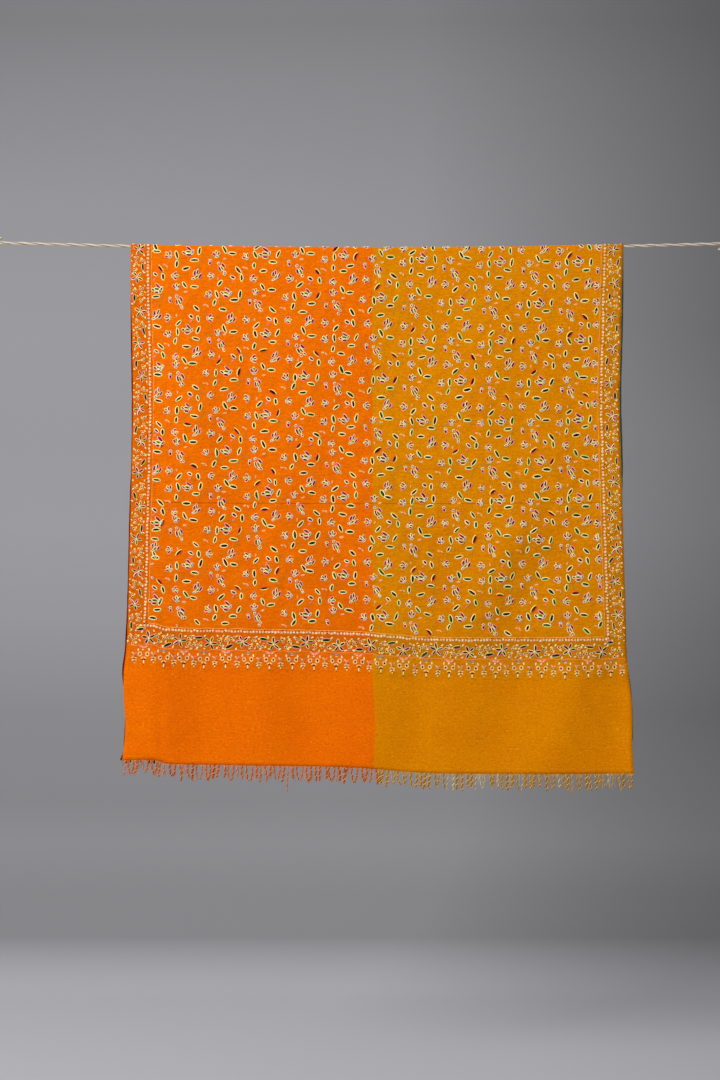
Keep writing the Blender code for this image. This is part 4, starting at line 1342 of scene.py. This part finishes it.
fringes = []
draw = np.random.default_rng(77)
for side, side_name in SIDES:
    looping = 0.0
    for half_name in ("left", "right"):
        yarn = YARNS[(side, half_name)]
        first = 0 if half_name == "left" else STRANDS // 2
        strands, dyes = [], []
        for n in range(first, first + STRANDS // 2):
            share = (n + 0.5 + draw.uniform(-UNEVEN, UNEVEN)) / STRANDS
            root = hem_point(side, share)
            splay = math.copysign(CORNER_SPLAY * abs(2 * share - 1) ** 8, share - 0.5)
            length = STRAND_LENGTH * draw.uniform(*LENGTHS) * (1.0 if side == FRONT else BACK_SHORTER)
            lean = splay + draw.normal(*LEAN)
            thick = STRAND_RADIUS * draw.uniform(*THICKNESSES)
            bow = draw.normal(0, BOW)
            if looping:
                lean, length, thick, bow = -looping, loop_length, loop_thick, LOOP_BOW
                looping = 0.0
            elif draw.random() < LOOPED:
                looping = HALF_STEP * draw.uniform(0.7, 1.0)
                loop_length, loop_thick = length, thick * 0.75
                lean, thick, bow = looping, loop_thick, -LOOP_BOW
            elif draw.random() < STRAY:
                length *= draw.uniform(*STRAY_LENGTHS)
                thick *= 0.6
            pale = draw.random() < PALE
            t = np.linspace(0.0, 1.0, 19)
            line_x = root[0] + lean * t + bow * np.sin(t * np.pi)
            outward = STRAND_CLEAR * smooth(t * 3) + abs(draw.normal(0, 0.0012)) * t
            line_y = root[1] + side * outward
            line_z = root[2] + 0.0008 - length * t
            shape = (0.70 + 0.36 * smooth(t * 3)) * (1.0 - 0.35 * smooth((t - 0.85) / 0.15))
            if pale:
                thick *= 0.7
            line = np.stack([line_x, line_y, line_z], axis=1)
            strand = twist(line, thick * shape, STRAND_OFFSET * thick / STRAND_RADIUS, STRAND_LAY, 2, 6,
                           draw.uniform(0, 2 * np.pi))
            strands.append(strand)
            light = yarn.pale if pale else yarn.light
            # One ply of each strand took the dye deeper than the other
            ply_tone = np.repeat(draw.uniform(*PLY_TONES), len(strand.points) // 2)
            # Darker where the plies meet and lighter on their outer sides: painted shade
            shade = shade_between(yarn.dark, light, smooth(strand.depth * 1.5)) * ply_tone[:, None]
            dyes.append(np.clip(shade, 0.0, 1.0))
            # Loose fibres hang between the strands
            for _ in range(2):
                hang = np.linspace(0.0, 1.0, 7)
                loose_x = root[0] + draw.normal(0, 0.0034) + draw.normal(0, 0.003) * hang
                loose_x = loose_x + draw.normal(0, 0.0012) * np.sin(hang * np.pi)
                loose_z = root[2] - STRAND_LENGTH * draw.uniform(*LOOSE_LENGTHS) * hang
                loose_y = np.full(7, root[1] + side * abs(draw.normal(0, 0.0008)))
                loose = np.stack([loose_x, loose_y, loose_z], axis=1)
                strands.append(twist(loose, LOOSE_RADIUS, 0.0, 1.0, 1, 3))
                tint = linear(yarn.pale if draw.random() < 0.5 else yarn.light)
                dyes.append(np.tile(tint, (len(strands[-1].points), 1)) * draw.uniform(0.55, 1.0))
            # The loose warp threads that run together into the strand
            thread_colour = KNOT_YELLOW if n % 5 == 2 and side == FRONT else yarn.light
            for spread in (-0.9, -0.35, 0.35, 0.9):
                top = hem_point(side, share + spread * 0.42 / STRANDS)
                bottom = root + np.array([lean * GATHER / length, 0.0, -GATHER])
                thread = np.stack([mix(top, bottom, s) for s in (0.0, 0.5, 1.0)])
                thread[0, 2] += 0.0008
                thread[1, 0] += spread * 0.0006
                strands.append(twist(thread, THREAD_RADIUS, 0.0, 1.0, 1, 3))
                dyes.append(np.tile(linear(thread_colour), (len(strands[-1].points), 1)))
        bunch = join(strands)
        fringe_name = f"fringe_{side_name}_{half_name}_twisted"
        fringe = add_piece(fringe_name, *bunch[:3], np.concatenate(dyes), twisted_wool, yarn.slot)
        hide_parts(f"fringe_{side_name}_{half_name}")
        fringes.append(fringe)


# Floor and backdrop: one sheet of matt paper, pale on the floor and greyer up the
# wall, swept up behind the shawl in a wide curve, so that no edge shows.
FLOOR_DEPTH = -1.75
WALL_DISTANCE = 1.9
SWEEP_RADIUS = 0.9
PAPER_FRONT = -6.0  # where the sheet starts on the floor
PAPER_TOP = 5.0
PAPER_HALF_WIDTH = 7.0
FLOOR_GREY = "CBCACE"
WALL_GREY = "AAA9AC"

# Painted light and shade on the wall: how bright it is at each height, and how much it darkens from the
# middle to the right
Tone = namedtuple("Tone", "height middle right")
WALL_PAINTED_LIGHT = [Tone(*row) for row in (
    (-1.67, 0.79, 0.09), (-1.58, 0.76, 0.09), (-1.46, 0.81, 0.07), (-1.35, 0.73, 0.07),
    (-1.1, 0.77, 0.32), (-0.82, 0.96, 0.41), (-0.55, 0.99, 0.41), (-0.27, 0.93, 0.43),
    (0.05, 0.9, 0.52), (0.46, 0.79, 0.48), (0.82, 0.64, 0.43), (1, 0.54, 0.41),
)]
paper, tree, shader = start_material("paper_matt_grey", roughness=0.95, shine=0.1, sheen=0.0)
here = add_node(tree, "ShaderNodeTexCoord")
way = add_node(tree, "ShaderNodeSeparateXYZ", links={0: here.outputs["Object"]})
lowest, highest = WALL_PAINTED_LIGHT[0].height, WALL_PAINTED_LIGHT[-1].height
greys = {}
for name, *values in (  # what goes in, its low and high, and what each becomes
    ("height", way.outputs["Z"], lowest, highest, 0.0, 1.0),
    # The right and floor right ranges darken the wall and the floor towards the right: painted falloff of
    # light
    ("right", way.outputs["X"], 0.15, 1.15, 0.0, 1.0),
    ("floor right", way.outputs["X"], 0.3, 0.9, 1.0, 0.93),
    ("wall", way.outputs["Z"], FLOOR_DEPTH, FLOOR_DEPTH + 0.08, 0.0, 1.0),
):
    greys[name] = add_node(tree, "ShaderNodeMapRange", links=dict(zip(RANGE, values))).outputs["Result"]
ramp = add_node(tree, "ShaderNodeValToRGB", links={0: greys["height"]})
stops = ramp.color_ramp.elements
for tone in WALL_PAINTED_LIGHT[1:-1]:
    stops.new((tone.height - lowest) / (highest - lowest))
for stop, tone in zip(stops, WALL_PAINTED_LIGHT):
    stop.color = (tone.middle, tone.right, 0.0, 1.0)
tones = add_node(tree, "ShaderNodeSeparateXYZ", links={0: ramp.outputs["Color"]})
deeper = add_node(
    tree, "ShaderNodeMath", {"operation": "MULTIPLY"}, {0: tones.outputs["Y"], 1: greys["right"]}
)
kept = add_node(tree, "ShaderNodeMath", {"operation": "SUBTRACT"}, {0: 1.0, 1: deeper.outputs[0]})
painted_wall_light = add_node(
    tree, "ShaderNodeMath", {"operation": "MULTIPLY"}, {0: tones.outputs["X"], 1: kept.outputs[0]}
)
wall_grey_painted_light = add_node(
    tree, "ShaderNodeMix", MULTIPLY, {0: 1.0, 6: (*linear(WALL_GREY), 1.0), 7: painted_wall_light.outputs[0]}
)
floor_grey_painted_falloff = add_node(
    tree, "ShaderNodeMix", MULTIPLY, {0: 1.0, 6: (*linear(FLOOR_GREY), 1.0), 7: greys["floor right"]}
)
paper_grey_painted_light = add_node(
    tree,
    "ShaderNodeMix",
    {"data_type": "RGBA"},
    {0: greys["wall"], 6: floor_grey_painted_falloff.outputs[2], 7: wall_grey_painted_light.outputs[2]},
)
tree.links.new(paper_grey_painted_light.outputs[2], shader.inputs["Base Color"])
grain = add_node(tree, "ShaderNodeTexNoise", links={"Scale": 60.0, "Detail": 4.0})
ridges = add_node(
    tree, "ShaderNodeBump", links={"Height": grain.outputs["Fac"], "Strength": 0.05, "Distance": 0.001}
)
tree.links.new(ridges.outputs["Normal"], shader.inputs["Normal"])
# It shows from its front only, so that it doesn't stand before the shawl's back
facing = add_node(tree, "ShaderNodeNewGeometry")
clear = add_node(tree, "ShaderNodeBsdfTransparent")
one_sided = add_node(
    tree,
    "ShaderNodeMixShader",
    links={0: facing.outputs["Backfacing"], 1: shader.outputs["BSDF"], 2: clear.outputs["BSDF"]},
)
tree.links.new(one_sided.outputs[0], tree.nodes["Material Output"].inputs["Surface"])

profile = [(PAPER_FRONT, FLOOR_DEPTH)]
for i in range(25):
    turn = math.pi / 2 * i / 24
    back = WALL_DISTANCE - SWEEP_RADIUS + SWEEP_RADIUS * math.sin(turn)
    profile.append((back, FLOOR_DEPTH + SWEEP_RADIUS - SWEEP_RADIUS * math.cos(turn)))
profile.append((WALL_DISTANCE, PAPER_TOP))
sweep_points = [(x, y, z) for y, z in profile for x in (-PAPER_HALF_WIDTH, PAPER_HALF_WIDTH)]
sweep_faces = [(2 * i, 2 * i + 1, 2 * i + 3, 2 * i + 2) for i in range(len(profile) - 1)]
sweep_mesh = bpy.data.meshes.new("studio_sweep")
sweep_mesh.from_pydata(sweep_points, [], sweep_faces)
sweep_mesh.shade_smooth()
sweep_mesh.materials.append(paper)
sweep = bpy.data.objects.new("studio_sweep", sweep_mesh)
bpy.context.scene.collection.objects.link(sweep)


# Light: one wide soft light from the upper left, weak ones from the right and on the
# floor, one behind for the back half, and an even grey light all round
Lamp = namedtuple("Lamp", "name place target size watts")
LAMPS = [Lamp(*row) for row in (
    ("key", (-2.75, -3.05, 1.3), (-0.1, 0, -0.5), 1.7, 166),
    ("fill", (2.6, -3, 0.2), (0.1, 0, -0.6), 2, 34),
    ("floor", (-0.1, 0.3, 2.2), (0.1, 0.9, -1.75), 1.6, 16),
    ("rear", (1.5, 1.7, 1), (0, 0, -0.5), 1.2, 60),
)]
for lamp in LAMPS:
    light = bpy.data.lights.new(lamp.name, "AREA")
    light.shape = "SQUARE"
    light.size = lamp.size
    light.energy = lamp.watts
    stand = bpy.data.objects.new(lamp.name, light)
    stand.location = lamp.place
    aim = np.array(lamp.target) - np.array(lamp.place)
    yaw = math.atan2(aim[1], aim[0]) - math.pi / 2
    pitch = math.atan2(aim[2], math.hypot(aim[0], aim[1])) + math.pi / 2
    stand.rotation_euler = (pitch, 0.0, yaw)
    bpy.context.scene.collection.objects.link(stand)
    if lamp.name == "rear":
        # This one lights the shawl and the rope, and not the backdrop close to it
        lit = bpy.data.collections.new("lit_from_behind")
        for piece in [rope, shawl] + embroidery + fringes:
            lit.objects.link(piece)
        stand.light_linking.receiver_collection = lit
        stand.visible_camera = False

world = bpy.data.worlds.new("studio")
world.use_nodes = True
background = world.node_tree.nodes["Background"]
background.inputs["Color"].default_value = (*linear("BFC0C4"), 1.0)
background.inputs["Strength"].default_value = 0.45
bpy.context.scene.world = world
bpy.context.scene.view_settings.view_transform = "Standard"
